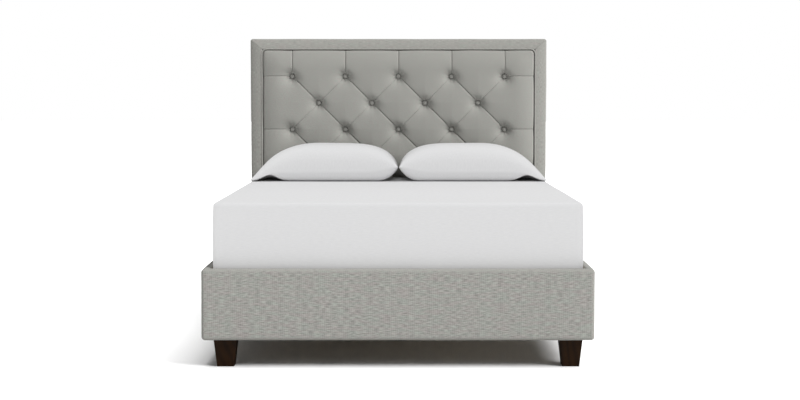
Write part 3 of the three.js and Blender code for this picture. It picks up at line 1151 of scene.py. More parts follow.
@dataclass
class TuftedPanel:
    """The centre of the headboard, drawn in at every button and folded between them."""

    finishes: Finishes
    cells_per_step: int = 48
    rim_cells: int = 6
    columns: int = 5
    rows: int = 5
    proud: float = 14 * MM
    pressed: float = -2 * MM
    press_fade: float = 0.13
    dimple_depth: float = 34 * MM
    dimple_floor: float = 9 * MM
    dimple_reach: float = 13 * MM
    dimple_drag: float = 1.8
    drag_turn: float = 52.0
    fold_right: float = 11 * MM
    fold_left: float = 7.5 * MM
    fold_out: float = 6 * MM
    fold_up: float = 8 * MM
    crease_width: float = 2.4 * MM
    valley_width: float = 12 * MM
    valley_share: float = 0.1
    slack_share: float = 0.38
    fold_at_button: float = 0.35
    fold_starts: tuple[float, float] = (10 * MM, 30 * MM)
    fold_pull: float = 0.6
    fold_pull_reach: float = 6 * MM
    dimple_wins: float = 0.75
    gathers: int = 9
    gather_depth: float = 1.2 * MM
    gather_reach: float = 22 * MM
    gather_width: float = 13 * MM
    puff: float = 5.5 * MM
    puff_reach: float = 58 * MM
    roll: float = 12 * MM
    slope_depth: float = 19 * MM
    slope_reach: float = 110 * MM
    outline_corner: float = 22 * MM
    button_radius: float = 12.5 * MM
    button_dome: float = 7.5 * MM
    button_back: float = 2.5 * MM
    span: Span = field(default_factory=lambda: Span.of("tufted_panel"))

    def __post_init__(self) -> None:
        """Works out the buttons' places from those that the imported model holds."""
        first = Span.of("tuft_button_r1_1").centre
        second = Span.of("tuft_button_r2_1").centre
        self.step = first.z - second.z
        self.top = first.z
        self.buttons: list[tuple[int, int, float, float]] = []
        for row in range(self.rows):
            count = self.columns - row % 2
            for column in range(count):
                x = (column - (count - 1) / 2) * 2 * self.step
                self.buttons.append((row + 1, column + 1, x, self.top - row * self.step))

    def folds(self) -> list[tuple[np.ndarray, np.ndarray, float]]:
        """Lists every fold of the cloth.

        Returns:
            Start and end of each fold as [x, z], and how deep it is.
        """
        found = []
        reach = self.step * (self.columns - 1) + 1 * MM
        for row, column, x, z in self.buttons:
            here = np.array([x, z])
            last = self.columns - (row + 1) % 2
            if row < self.rows:
                for side, depth in ((1, self.fold_right), (-1, self.fold_left)):
                    there = here + np.array([side * self.step, -self.step])
                    if abs(there[0]) < reach:
                        found.append((here, there, depth))
            if row % 2 == 1 and column in (1, last):
                edge = self.span.high.x if x > 0 else self.span.low.x
                found.append((here, np.array([edge, z]), self.fold_out))
            if row == 1:
                found.append((here, np.array([x, self.span.high.z]), self.fold_up))
        return found

    def _grid(self) -> bpy.types.Object:
        """Lays out a sheet whose vertices fall on the buttons and along the folds.

        Returns:
            A flat sheet in front of the foam.
        """
        cell = self.step / self.cells_per_step
        columns = 2 * math.ceil(self.span.high.x / cell)
        above = math.ceil((self.span.high.z - self.top) / cell)
        below = math.ceil((self.top - self.span.low.z) / cell)
        height = (above + below) * cell
        middle = self.top + (above - below) * cell / 2
        span = Span(
            Vector((-columns * cell / 2, self.span.low.y, middle - height / 2)),
            Vector((columns * cell / 2, self.span.low.y, middle + height / 2)),
        )
        bpy.ops.object.select_all(action="DESELECT")
        bpy.ops.mesh.primitive_grid_add(
            x_subdivisions=columns,
            y_subdivisions=above + below,
            size=1.0,
            location=span.centre,
            rotation=(math.pi / 2, 0, 0),
        )
        bpy.context.object.scale = (span.size.x, span.size.z, 1.0)
        piece = Bench.named("tufted_pad")
        points = Bench.points(piece)
        for i, low, high in ((0, span.low.x, span.high.x), (2, span.low.z, span.high.z)):
            ends = ((low, self.span.low[i]), (high, self.span.high[i]))
            for start, end in ends:
                near = eased(np.abs(points[:, i] - start), self.rim_cells * cell, 0.0)
                points[:, i] += (end - start) * near
        Bench.place(piece, points)
        return piece

    def _shaped(self, points: np.ndarray) -> np.ndarray:
        """Draws the cloth in at the buttons and along the folds.

        Args:
            points: Points of the flat sheet.

        Returns:
            Points of the tufted sheet.
        """
        flat = points[:, [0, 2]].copy()
        sunk = np.zeros(len(flat))
        nearest = np.full(len(flat), 1.0)
        pull = np.zeros_like(flat)
        reach = np.full(len(flat), 1.0)
        dimple = np.zeros(len(flat))
        steep = math.radians(self.drag_turn)
        for _, _, x, z in self.buttons:
            away = np.hypot(flat[:, 0] - x, flat[:, 1] - z)
            turn = np.arctan2(flat[:, 1] - z, flat[:, 0] - x)
            drag = 1 + self.dimple_drag * (1 - np.cos(turn - steep)) / 2
            wall = np.maximum(away - self.dimple_floor, 0) / (self.dimple_reach * drag)
            dimple = np.maximum(dimple, self.dimple_depth * np.exp(-(wall**1.2)))
            reach = np.minimum(reach, away)
        clear = eased(reach, *self.fold_starts)
        for start, end, depth in self.folds():
            run = end - start
            length = np.linalg.norm(run)
            unit = run / length
            share = np.clip((flat - start) @ unit / length, 0, 1)
            offset = flat - start - (share * length)[:, None] * unit
            away = np.linalg.norm(offset, axis=1)
            ends_on_button = abs(run[0]) > 1e-6 and abs(run[1]) > 1e-6
            slack = np.abs(2 * share - 1) if ends_on_button else 1 - share
            strength = depth * (1 - self.slack_share + self.slack_share * slack**3)
            strength *= self.fold_at_button + (1 - self.fold_at_button) * clear
            crease = (1 - self.valley_share) * np.exp(-away / self.crease_width)
            valley = self.valley_share * np.exp(-away / self.valley_width)
            sunk = np.maximum(sunk, strength * (crease + valley))
            nearest = np.minimum(nearest, away)
            drawn = self.fold_pull * np.exp(-((away / self.fold_pull_reach) ** 2)) * clear
            pull -= offset * drawn[:, None]
        depth = dimple + sunk * (1 - self.dimple_wins * dimple / self.dimple_depth)
        near = np.minimum(nearest, reach)
        crown = self.puff * (1 - np.exp(-((near / self.puff_reach) ** 1.4)))
        moved = points.copy()
        moved[:, [0, 2]] = self._outline(flat + pull)
        moved[:, 1] = self.span.low.y + depth - crown - self._proud(flat[:, 1])
        moved[:, 1] += self._rolled(moved) + self._gathers(flat)
        return moved

    def _proud(self, heights: np.ndarray) -> np.ndarray:
        """Says how far the stuffing stands out, which is least where the mattress presses on it.

        Args:
            heights: Heights above the floor.

        Returns:
            How far forward each height stands.
        """
        mattress = Span.of("mattress").high.z
        free = eased(heights, mattress, mattress + self.press_fade)
        return self.pressed + (self.proud - self.pressed) * free

    def _gathers(self, flat: np.ndarray) -> np.ndarray:
        """Puckers the cloth round each button.

        Args:
            flat: Points as [x, z].

        Returns:
            How far back each point goes.
        """
        back = np.zeros(len(flat))
        for row, column, x, z in self.buttons:
            away = np.hypot(flat[:, 0] - x, flat[:, 1] - z)
            turn = np.arctan2(flat[:, 1] - z, flat[:, 0] - x)
            band = np.exp(-(((away - self.gather_reach) / self.gather_width) ** 2))
            phase = 1.7 * row + 0.9 * column
            back += band * np.cos(self.gathers * turn + phase) * self.gather_depth
        return back

    def _outline(self, flat: np.ndarray) -> np.ndarray:
        """Rounds the corners of the sheet.

        Args:
            flat: Points as [x, z].

        Returns:
            The moved points.
        """
        low = np.array([self.span.low.x, self.span.low.z]) + self.outline_corner
        high = np.array([self.span.high.x, self.span.high.z]) - self.outline_corner
        core = np.clip(flat, low, high)
        arm = flat - core
        length = np.maximum(np.linalg.norm(arm, axis=1), 1e-9)
        return core + arm * (np.abs(arm).max(axis=1) / length)[:, None]

    def _rolled(self, points: np.ndarray) -> np.ndarray:
        """Turns the rim of the sheet back over the edge of the foam.

        Args:
            points: Points in the panel's outline.

        Returns:
            How far back each point goes.
        """
        radius = self.outline_corner
        low = np.array([self.span.low.x, self.span.low.z]) + radius
        high = np.array([self.span.high.x, self.span.high.z]) - radius
        flat = points[:, [0, 2]]
        inset = radius - np.linalg.norm(flat - np.clip(flat, low, high), axis=1)
        short = self.roll - np.clip(inset, 0, self.roll)
        rolled = self.roll - np.sqrt(np.maximum(self.roll**2 - short**2, 0))
        slope = self.slope_depth * np.ones(len(flat))
        for i, start, end in zip((0, 1), low - radius, high + radius):
            near = np.minimum(flat[:, i] - start, end - flat[:, i])
            slope *= 1 - np.clip(1 - near / self.slope_reach, 0, 1) ** 2.4
        return rolled + self.slope_depth - slope

    def build(self) -> None:
        """Makes the panel and its buttons."""
        piece = self._grid()
        Bench.place(piece, self._shaped(Bench.points(piece)))
        uneven(piece, 0.11, 0.35 * MM, seed=3)
        self._close_back(piece)
        upholstered(piece, self.finishes.upholstery, ["tufted_panel"], angle=70)
        self._buttons()

    def _close_back(self, piece: bpy.types.Object) -> None:
        """Carries the rim back to the board behind the foam and closes it.

        Args:
            piece: The tufted sheet.
        """
        Bench.take(piece)
        bpy.ops.object.mode_set(mode="EDIT")
        bpy.ops.mesh.select_mode(type="EDGE")
        bpy.ops.mesh.select_all(action="DESELECT")
        bpy.ops.mesh.select_non_manifold(extend=False)
        bpy.ops.mesh.extrude_region_move()
        bpy.ops.object.mode_set(mode="OBJECT")
        points = Bench.points(piece)
        chosen = np.array([vertex.select for vertex in piece.data.vertices])
        points[chosen, 1] = self.span.high.y
        Bench.place(piece, points)
        bpy.ops.object.mode_set(mode="EDIT")
        bpy.ops.mesh.edge_face_add()
        bpy.ops.object.mode_set(mode="OBJECT")
        Bench.face_out(piece)

    def _buttons(self) -> None:
        """Makes a covered button for every dimple."""
        pattern = self._button()
        heights = np.array([z for _, _, _, z in self.buttons])
        seats = self.span.low.y + 0.8 * self.dimple_depth - self._proud(heights)
        for (row, column, x, z), seat in zip(self.buttons, seats):
            node = f"tuft_button_r{row}_{column}"
            move = Matrix.Translation((x, seat, z))
            button = Bench.copied(pattern, f"covered_button_r{row}_{column}", move)
            Bench.map_cloth(button)
            held = [node] if node in frame["nodes"] else []
            dressed(button, self.finishes.upholstery, replaces=held)
        bpy.data.objects.remove(pattern)

    def _button(self) -> bpy.types.Object:
        """Models one covered button that faces the foot of the bed.

        Returns:
            The button, its back on the plane y = 0.
        """
        bpy.ops.object.select_all(action="DESELECT")
        bpy.ops.mesh.primitive_uv_sphere_add(segments=32, ring_count=18, radius=self.button_radius)
        piece = Bench.named("covered_button")
        points = Bench.points(piece)
        across = np.hypot(points[:, 0], points[:, 1]) / self.button_radius
        turn = np.arctan2(points[:, 1], points[:, 0])
        front = points[:, 2] > 0
        gather = 0.25 * MM * np.cos(self.gathers * turn) * across**3
        dome = self.button_dome * np.sqrt(np.maximum(1 - across**2.6, 0)) + gather
        back = -self.button_back * np.sqrt(np.maximum(1 - across**6, 0))
        points[:, 2] = np.where(front, dome, back)
        turned = points[:, [0, 2, 1]] * np.array([1, -1, 1])
        Bench.place(piece, turned)
        Bench.face_out(piece)
        Bench.smooth(piece, 60)
        return piece


@dataclass
class Border:
    """The padded frame round the tufted panel: two uprights, a top and an inner welt."""

    finishes: Finishes
    corner: float = 9 * MM
    edge: float = 8.5 * MM
    cloth: float = 1.5 * MM
    seam_depth: float = 0.5 * MM
    seam_reach: float = 5 * MM
    set_back: float = 7 * MM
    lean: float = 4 * MM
    fall: float = 10 * MM
    flare: float = 2.5 * MM
    welt_radius: float = 4.2 * MM
    welt_corner: float = 24 * MM
    welt_gap: float = 1.5 * MM
    welt_sunk: float = 2.2 * MM
    seam_rows: tuple[float, ...] = (10 * MM, 5 * MM, 2 * MM)
    seam_gap: float = 0.1 * MM

    def __post_init__(self) -> None:
        """Measures the headboard."""
        self.whole = Span.of("border_left", "border_right", "border_top")
        self.top = Span.of("border_top")
        self.right = Span.of("border_right")
        self.pad_back = Span.of("tufted_panel").high.y
        self.cover_back = Span.of("headboard_back_cover")

    def _mitre(self, side: Side) -> tuple[Vector, Vector]:
        """Finds the plane that an upright and the top meet on.

        Args:
            side: Which top corner.

        Returns:
            A point on the plane and its normal, which points up and inwards.
        """
        width = self.right.size.x
        height = self.top.size.z
        point = Vector((side.value * self.whole.high.x, 0, self.whole.high.z))
        return point, Vector((-side.value * height, 0, width)).normalized()

    def _drawn_in(self, piece: bpy.types.Object, side: Side) -> None:
        """Sinks the cloth along a mitre seam.

        Args:
            piece: A border pad.
            side: The corner that the seam is in.
        """
        point, normal = self._mitre(side)
        points = Bench.points(piece)
        away = np.abs((points - np.array(point)) @ np.array(normal))
        sunk = self.seam_depth * np.exp(-away / self.seam_reach)
        moved = points - Bench.normals(piece) * sunk[:, None]
        Bench.place(piece, moved)

    def _trimmed(self, piece: bpy.types.Object, side: Side, above: bool) -> None:
        """Cuts a border pad off along a mitre, with rows of vertices beside the seam.

        Args:
            piece: A border pad.
            side: The corner that the seam is in.
            above: Whether the part above the seam goes.
        """
        point, normal = self._mitre(side)
        sign = -1 if above else 1
        for row in self.seam_rows:
            self._bisect(piece, point + normal * (sign * row), normal, False, above)
        self._bisect(piece, point + normal * (sign * self.seam_gap), normal, True, above)

    @staticmethod
    def _bisect(
        piece: bpy.types.Object, point: Vector, normal: Vector, remove: bool, above: bool
    ) -> None:
        """Cuts through all of a piece.

        Args:
            piece: The piece to cut.
            point: A point on the cut.
            normal: The cut's normal.
            remove: Whether one side goes and the cut is closed.
            above: Whether the side that the normal points to is the one that goes.
        """
        Bench.take(piece)
        bpy.ops.object.mode_set(mode="EDIT")
        bpy.ops.mesh.select_all(action="SELECT")
        bpy.ops.mesh.bisect(
            plane_co=point,
            plane_no=normal,
            use_fill=remove,
            clear_outer=remove and above,
            clear_inner=remove and not above,
        )
        bpy.ops.object.mode_set(mode="OBJECT")

    def _leaned(self, piece: bpy.types.Object, inner: float, outer: float, axis: Axis) -> None:
        """Lets the front of a pad fall back towards its outer edge.

        Args:
            piece: A border pad.
            inner: Where its inner edge is along the axis.
            outer: Where its outer edge is.
            axis: The way across the pad.
        """
        points = Bench.points(piece)
        across = np.clip((points[:, axis.value] - inner) / (outer - inner), 0, 1)
        depth = self.whole.size.y
        forward = np.clip((self.whole.high.y - points[:, 1]) / depth, 0, 1)
        points[:, 1] += (self.set_back + self.lean * across + self.fall * across**2.5) * forward
        points[:, axis.value] += math.copysign(self.flare, outer - inner) * across
        Bench.place(piece, points)

    def _upright(self, side: Side) -> None:
        """Makes a side of the border.

        Args:
            side: Which side.
        """
        span = Span.of(f"border_{side.word}")
        full = Span(span.low, Vector((span.high.x, span.high.y, self.whole.high.z)))
        piece = Pad(
            name=f"border_pad_{side.word}",
            span=full,
            cells=(16, 14, 100),
            depth=Axis.Y,
            corner=self.corner,
            edge=self.edge,
        ).build()
        ends = (span.low.x, span.high.x) if side is Side.RIGHT else (span.high.x, span.low.x)
        self._leaned(piece, *ends, Axis.X)
        self._trimmed(piece, side, above=True)
        self._drawn_in(piece, side)
        self._dress(piece, f"border_{side.word}", seed=11 + side.value)

    def _across(self) -> None:
        """Makes the top of the border."""
        full = Span(self.top.low, self.top.high)
        full.low.x, full.high.x = self.whole.low.x, self.whole.high.x
        piece = Pad(
            name="border_pad_top",
            span=full,
            cells=(100, 14, 16),
            depth=Axis.Y,
            corner=self.corner,
            edge=self.edge,
        ).build()
        self._leaned(piece, full.low.z, full.high.z, Axis.Z)
        for side in Side:
            self._trimmed(piece, side, above=False)
        for side in Side:
            self._drawn_in(piece, side)
        self._dress(piece, "border_top", seed=17)

    def _dress(self, piece: bpy.types.Object, node: str, seed: int) -> None:
        """Leaves the cover open behind, where the frame stands in it, and finishes it.

        Args:
            piece: A border pad.
            node: The node that it stands for.
            seed: Chooses its unevenness.
        """
        uneven(piece, 0.16, 0.3 * MM, seed=seed)
        frame_face = self.pad_back + 2 * MM
        cover = self.cover_back

        def behind(middle: Vector) -> bool:
            """Says whether a face would lie in the timber or under the dust cover."""
            inside = abs(middle.x) < cover.high.x - 1 * MM and middle.z < cover.high.z - 1 * MM
            return middle.y > frame_face and inside

        Bench.cover_only(piece, behind, self.cloth)
        upholstered(piece, self.finishes.upholstery, [node])

    def _welt(self) -> None:
        """Makes the cloth-covered cord along the inner edge of the border."""
        panel = Span.of("tufted_panel")
        half = panel.high.x + self.welt_radius + self.welt_gap
        top = panel.high.z + self.welt_radius + self.welt_gap
        depth = self.whole.low.y + self.set_back + self.welt_sunk
        bend = self.welt_corner + self.welt_radius
        path = [(half, panel.low.z), (half, (panel.low.z + top) / 2)]
        for turn in np.linspace(0, math.pi / 2, 9):
            path.append((half - bend + bend * math.cos(turn), top - bend + bend * math.sin(turn)))
        path += [(-x, z) for x, z in reversed(path)]
        line = np.array([(x, depth, z) for x, z in path])
        piece = Bench.tube("border_welt", line, self.welt_radius, 16)
        upholstered(piece, self.finishes.upholstery)

    def build(self) -> None:
        """Makes the whole border."""
        for side in Side:
            self._upright(side)
        self._across()
        self._welt()


@dataclass
class HeadboardBack:
    """What shows behind and below the tufting: the lower panel, dust cover and staples."""

    finishes: Finishes
    staple_pitch: float = 55 * MM
    staple_inset: float = 9 * MM

    def build(self) -> None:
        """Makes the lower panel, the dust cover and its staples."""
        self._lower_panel()
        self._dust_cover()
        self._staples()
        for node in ("headboard_post_left", "headboard_post_right"):
            Timber.eased_edges(node, self.finishes.pine[Axis.Z])
        for node in ("headboard_top_rail", "headboard_bottom_rail"):
            Timber.eased_edges(node, self.finishes.pine[Axis.X])
        Timber.eased_edges("headboard_backing", self.finishes.plywood)

    def _lower_panel(self) -> None:
        """Makes the plain padded panel behind the mattress."""
        span = Span.of("headboard_lower_panel")
        piece = Pad(
            name="lower_pad",
            span=span,
            cells=(60, 8, 24),
            depth=Axis.Y,
            corner=7 * MM,
            edge=6 * MM,
            rim_rows=3,
        ).build()
        uneven(piece, 0.18, 0.5 * MM, seed=5)
        upholstered(piece, self.finishes.upholstery, ["headboard_lower_panel"])

    def _dust_cover(self) -> None:
        """Makes the thin black cloth stapled over the back."""
        span = Span.of("headboard_back_cover")
        piece = Pad(
            name="dust_cover",
            span=span,
            cells=(90, 2, 72),
            depth=Axis.Y,
            corner=1 * MM,
            edge=0.6 * MM,
            rim_rows=1,
        ).build()
        points = Bench.points(piece)
        middle = np.array(span.centre)
        share = np.abs(points - middle) / np.array(span.size) * 2
        inside = (1 - share[:, 0] ** 6) * (1 - share[:, 2] ** 6)
        points[:, 1] += ripple(points * np.array([1, 0, 1]), 0.3, seed=21) * 0.5 * MM * inside
        Bench.place(piece, points)
        Bench.smooth(piece, 60)
        replaced = ["headboard_back_cover"]
        dressed(piece, self.finishes.dust_cover, replaces=replaced)

    def _staples(self) -> None:
        """Makes the row of staples round the dust cover."""
        span = Span.of("headboard_back_cover")
        x, z = span.size.x / 2 - self.staple_inset, span.size.z / 2 - self.staple_inset
        crown = Vector((10 * MM, 0.7 * MM, 0.9 * MM))
        pattern = Bench.block("staple", Span(-crown / 2, crown / 2))
        Bench.finish_with(pattern, "BEVEL", width=0.25 * MM, segments=2)
        copies = []
        for length, fixed, upright in ((2 * x, z, False), (2 * z, x, True)):
            count = round(length / self.staple_pitch)
            for sign in (-1, 1):
                for i in range(count):
                    along = (i + 0.5) / count * length - length / 2
                    place = (sign * fixed, along) if upright else (along, sign * fixed)
                    tilt = math.radians(14 * math.sin(7.3 * i + sign))
                    turn = Matrix.Rotation(tilt + (math.pi / 2 if upright else 0), 4, "Y")
                    spot = Vector((place[0], span.high.y + 0.25 * MM, span.centre.z + place[1]))
                    name = f"staple_{len(copies)}"
                    move = Matrix.Translation(spot) @ turn
                    copies.append(Bench.copied(pattern, name, move))
        bpy.data.objects.remove(pattern)
        piece = Bench.joined("dust_cover_staples", copies)
        dressed(piece, self.finishes.bright_steel)


# ------------------------------------------------------------------------------ base


class Timber:
    """Boards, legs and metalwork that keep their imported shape."""

    @staticmethod
    def eased_edges(node: str, material: bpy.types.Material, width: float = 1.5 * MM) -> None:
        """Gives a node its finish and takes the sharpness off its edges.

        Args:
            node: The node's name.
            material: Its finish.
            width: How far each edge is eased.
        """
        piece = frame["nodes"][node]
        piece.data.materials.clear()
        piece.data.materials.append(material)
        weld = piece.modifiers.new("weld", "WELD")
        weld.merge_threshold = 0.01 * MM
        bevel = piece.modifiers.new("eased_edges", "BEVEL")
        bevel.width = width
        bevel.segments = 2
        bevel.limit_method = "ANGLE"
        bevel.angle_limit = math.radians(35)
        bevel.harden_normals = False
        log.info("%s: finish %s", node, material.name)


@dataclass
class Base:
    """The padded box base, its deck, its legs and its metalwork."""

    finishes: Finishes
    cloth: float = 1.2 * MM
    turn_in: float = 24 * MM
    rail_edge: float = 11 * MM
    foot_corner: float = 14 * MM
    crown: float = 1.5 * MM
    screw_radius: float = 4.2 * MM
    screw_inset: float = 17 * MM
    screw_spread: float = 0.28

    def build(self) -> None:
        """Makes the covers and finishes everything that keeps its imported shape."""
        for side in Side:
            self._side_cover(side)
        self._foot_cover()
        self._deck_screws()
        pines = self.finishes.pine
        kept = {
            "side_rail_board": (pines[Axis.Y], 1.5 * MM),
            "slat_ledger": (pines[Axis.Y], 2 * MM),
            "footboard_board": (pines[Axis.X], 1.5 * MM),
            "centre_beam": (pines[Axis.Y], 2 * MM),
            "centre_leg": (pines[Axis.Z], 2 * MM),
            "leg_": (self.finishes.leg_stain, 1.5 * MM),
            "corner_bracket": (self.finishes.powder_coat, 0.6 * MM),
            "levelling_glide": (self.finishes.nylon, 0.5 * MM),
        }
        for node in sorted(frame["nodes"]):
            for start, (material, width) in kept.items():
                if node.startswith(start):
                    Timber.eased_edges(node, material, width)
        for node in self._slats():
            Timber.eased_edges(node, pines[Axis.X], 3 * MM)

    @staticmethod
    def _slats() -> list[str]:
        """Lists the slats in the order of their names.

        Returns:
            The slats' nodes.
        """
        names = sorted(frame["nodes"])
        return [name for name in names if name.startswith("slat_") and "ledger" not in name]

    def _side_cover(self, side: Side) -> None:
        """Makes the padded cover of a side rail.

        Args:
            side: Which side.
        """
        node = f"side_rail_cover_{side.word}"
        span = Span.of(node)
        inner = span.low.x if side is Side.RIGHT else span.high.x
        inner -= side.value * self.cloth
        low = Vector((min(inner, span.low.x), span.low.y, span.low.z))
        high = Vector((max(inner, span.high.x), span.high.y, span.high.z))
        full = Span(low, high)
        piece = Pad(
            name=f"rail_cover_{side.word}",
            span=full,
            cells=(10, 100, 30),
            depth=Axis.X,
            corner=self.rail_edge + 1 * MM,
            edge=self.rail_edge,
        ).build()
        points = self._flat_ends(Bench.points(piece), full)
        Bench.place(piece, swollen(points, full, Axis.X, side.value, self.crown, 3.0))
        uneven(piece, 0.2, 0.35 * MM, seed=31 + side.value)

        def inside(middle: Vector) -> bool:
            """Says whether a face is on the open inner side of the cover."""
            hidden = (middle.x - inner) * side.value < 1 * MM
            low_edge = full.low.z + self.turn_in
            high_edge = full.high.z - self.turn_in
            return hidden and low_edge < middle.z < high_edge

        Bench.cover_only(piece, inside, self.cloth)
        upholstered(piece, self.finishes.upholstery, [node])

    @staticmethod
    def _flat_ends(points: np.ndarray, full: Span) -> np.ndarray:
        """Squares the cover's ends, where it meets the footboard and the headboard.

        Args:
            points: Points of the rounded cover.
            full: The cover's span.

        Returns:
            Points whose ends reach both planes with a small round edge.
        """
        moved = points.copy()
        middle = full.centre.y
        half = full.size.y / 2
        share = np.abs(points[:, 1] - middle) / half
        near = eased(share, 0.985, 1.0)
        share = share + (1 - share) * near * 0.5
        moved[:, 1] = middle + np.sign(points[:, 1] - middle) * half * share
        return moved

    def _foot_cover(self) -> None:
        """Makes the padded cover of the footboard."""
        span = Span.of("footboard_cover")
        board = Span.of("footboard_board")
        full = Span(span.low, Vector((span.high.x, board.high.y + self.cloth, span.high.z)))
        piece = Pad(
            name="foot_cover",
            span=full,
            cells=(100, 14, 40),
            depth=Axis.Y,
            corner=self.foot_corner,
            edge=self.foot_corner - 1 * MM,
            rim_rows=5,
        ).build()
        points = swollen(Bench.points(piece), full, Axis.Y, -1, self.crown, 3.0)
        Bench.place(piece, points)
        uneven(piece, 0.22, 0.4 * MM, seed=41)
        inner = board.high.y

        def inside(middle: Vector) -> bool:
            """Says whether a face is on the open inner side of the cover."""
            within = full.low.z + self.turn_in < middle.z < full.high.z - self.turn_in
            return middle.y > inner and within and abs(middle.x) < full.high.x - self.turn_in

        Bench.cover_only(piece, inside, self.cloth)
        upholstered(piece, self.finishes.upholstery, ["footboard_cover"])

    def _deck_screws(self) -> None:
        """Makes two countersunk screws at each end of every slat."""
        bpy.ops.object.select_all(action="DESELECT")
        bpy.ops.mesh.primitive_cylinder_add(vertices=16, radius=self.screw_radius, depth=1.2 * MM)
        pattern = Bench.named("screw")
        Bench.pick(pattern, "FACE", lambda face: face.normal.z > 0.9)
        bpy.ops.mesh.inset(thickness=0.6 * MM, depth=0.3 * MM)
        bpy.ops.mesh.inset(thickness=1.6 * MM, depth=-0.1 * MM)
        bpy.ops.mesh.inset(thickness=0.3 * MM, depth=-0.7 * MM)
        bpy.ops.object.mode_set(mode="OBJECT")
        copies = []
        for node in self._slats():
            slat = Span.of(node)
            for x in (slat.low.x + self.screw_inset, slat.high.x - self.screw_inset):
                for y in (-self.screw_spread, self.screw_spread):
                    spot = Vector((x, slat.centre.y + y * slat.size.y, slat.high.z - 0.35 * MM))
                    name = f"screw_{len(copies)}"
                    copies.append(Bench.copied(pattern, name, Matrix.Translation(spot)))
        bpy.data.objects.remove(pattern)
        piece = Bench.joined("slat_screws", copies)
        Bench.smooth(piece, 30)
        dressed(piece, self.finishes.bright_steel)


# ------------------------------------------------------------------------------ bedding


@dataclass
class Mattress:
    """The mattress, inside its fitted sheet."""

    finishes: Finishes
    corner: float = 32 * MM
    edge: float = 13 * MM
    bulge: float = 3 * MM
    sheet_thick: float = 1.0 * MM
    hem: float = 90 * MM
    head_clear: float = 12 * MM
    pull_wave: float = 0.085
    pull_reach: float = 0.12
    pull_height: float = 0.5 * MM
    drape_wave: float = 0.3
    drape_height: float = 0.8 * MM
    calm_wave: float = 0.45
    calm_height: float = 0.5 * MM

    def build(self) -> None:
        """Makes the mattress and its sheet."""
        self._body()
        self._sheet()

    def _room(self, node: str) -> Span:
        """Finds a node's room, short of the head end so that it lifts past the stuffing.

        Args:
            node: The node.

        Returns:
            The room.
        """
        span = Span.of(node)
        return Span(span.low, span.high - Vector((0, self.head_clear, 0)))

    def _bulged(self, points: np.ndarray, span: Span, amount: float) -> np.ndarray:
        """Lets the four sides belly out between the top and the bottom.

        Args:
            points: The points of a block.
            span: The block's span.
            amount: How far the middle of a side stands out.

        Returns:
            The moved points.
        """
        share = (points[:, 2] - span.low.z) / span.size.z * 2 - 1
        profile = 1 - np.abs(share) ** 2.5
        centre = np.array(span.centre)
        arm = points - centre
        moved = points.copy()
        for i in (0, 1):
            half = span.size[i] / 2
            near = eased(np.abs(arm[:, i]), half - 0.12, half)
            moved[:, i] += np.sign(arm[:, i]) * near * (profile - 1) * amount
        return moved

    def _body(self) -> None:
        """Makes the mattress itself, with round edges and sides that belly out."""
        span = self._room("mattress").grown(x=-3 * MM, y=-3 * MM, z=-1 * MM)
        piece = Pad(
            name="mattress_body",
            span=span,
            cells=(60, 80, 20),
            depth=Axis.Z,
            corner=self.corner,
            edge=self.edge,
        ).build()
        Bench.place(piece, self._bulged(Bench.points(piece), span, self.bulge))
        Bench.map_cloth(piece)
        Bench.smooth(piece, 60)
        dressed(piece, self.finishes.ticking, "mattress", ["mattress"])

    def _sheet(self) -> None:
        """Makes the fitted sheet, drawn under the mattress by its elastic."""
        span = self._room("fitted_sheet")
        piece = Pad(
            name="sheet_fitted",
            span=span,
            cells=(100, 100, 40),
            depth=Axis.Z,
            corner=self.corner + 2 * MM,
            edge=self.edge + 2 * MM,
            rim_rows=6,
        ).build()
        points = self._bulged(Bench.points(piece), span, self.bulge)
        Bench.place(piece, points)
        self._wrinkled(piece, span)
        bottom = span.low.z + 6 * MM
        inner = span.grown(x=-self.hem, y=-self.hem)

        def underneath(middle: Vector) -> bool:
            """Says whether a face lies inside the sheet's hem, under the mattress."""
            in_x = inner.low.x < middle.x < inner.high.x
            in_y = inner.low.y < middle.y < inner.high.y
            return middle.z < bottom and in_x and in_y

        Bench.cover_only(piece, underneath, self.sheet_thick)
        Bench.map_cloth(piece)
        Bench.smooth(piece, 70)
        dressed(piece, self.finishes.percale, "mattress", ["fitted_sheet"])

    def _wrinkled(self, piece: bpy.types.Object, span: Span) -> None:
        """Adds the soft pulls of a fitted sheet round its corners and down its sides.

        Args:
            piece: The sheet as a smooth block.
            span: The sheet's span.
        """
        points = Bench.points(piece)
        normals = Bench.normals(piece)
        half = np.array(span.size) / 2
        arm = np.abs(points - np.array(span.centre))
        along = half[None, :2] - arm[:, :2]
        corner = np.hypot(along[:, 0], along[:, 1])
        height = (points[:, 2] - span.low.z) / span.size.z
        side = 1 - np.abs(normals[:, 2])
        wander = 2.5 * height + ripple(points, self.drape_wave, 51)
        swirl = np.sin(corner * 2 * math.pi / self.pull_wave + wander)
        pull = swirl * np.exp(-corner / self.pull_reach) * side * self.pull_height
        upright = points * np.array([1, 1, 0.25])
        drape = ripple(upright, self.drape_wave, 52) * side * self.drape_height
        calm = ripple(points, self.calm_wave, 53) * (1 - side) * self.calm_height
        Bench.place(piece, points + normals * (pull + drape + calm - 0.8 * MM)[:, None])


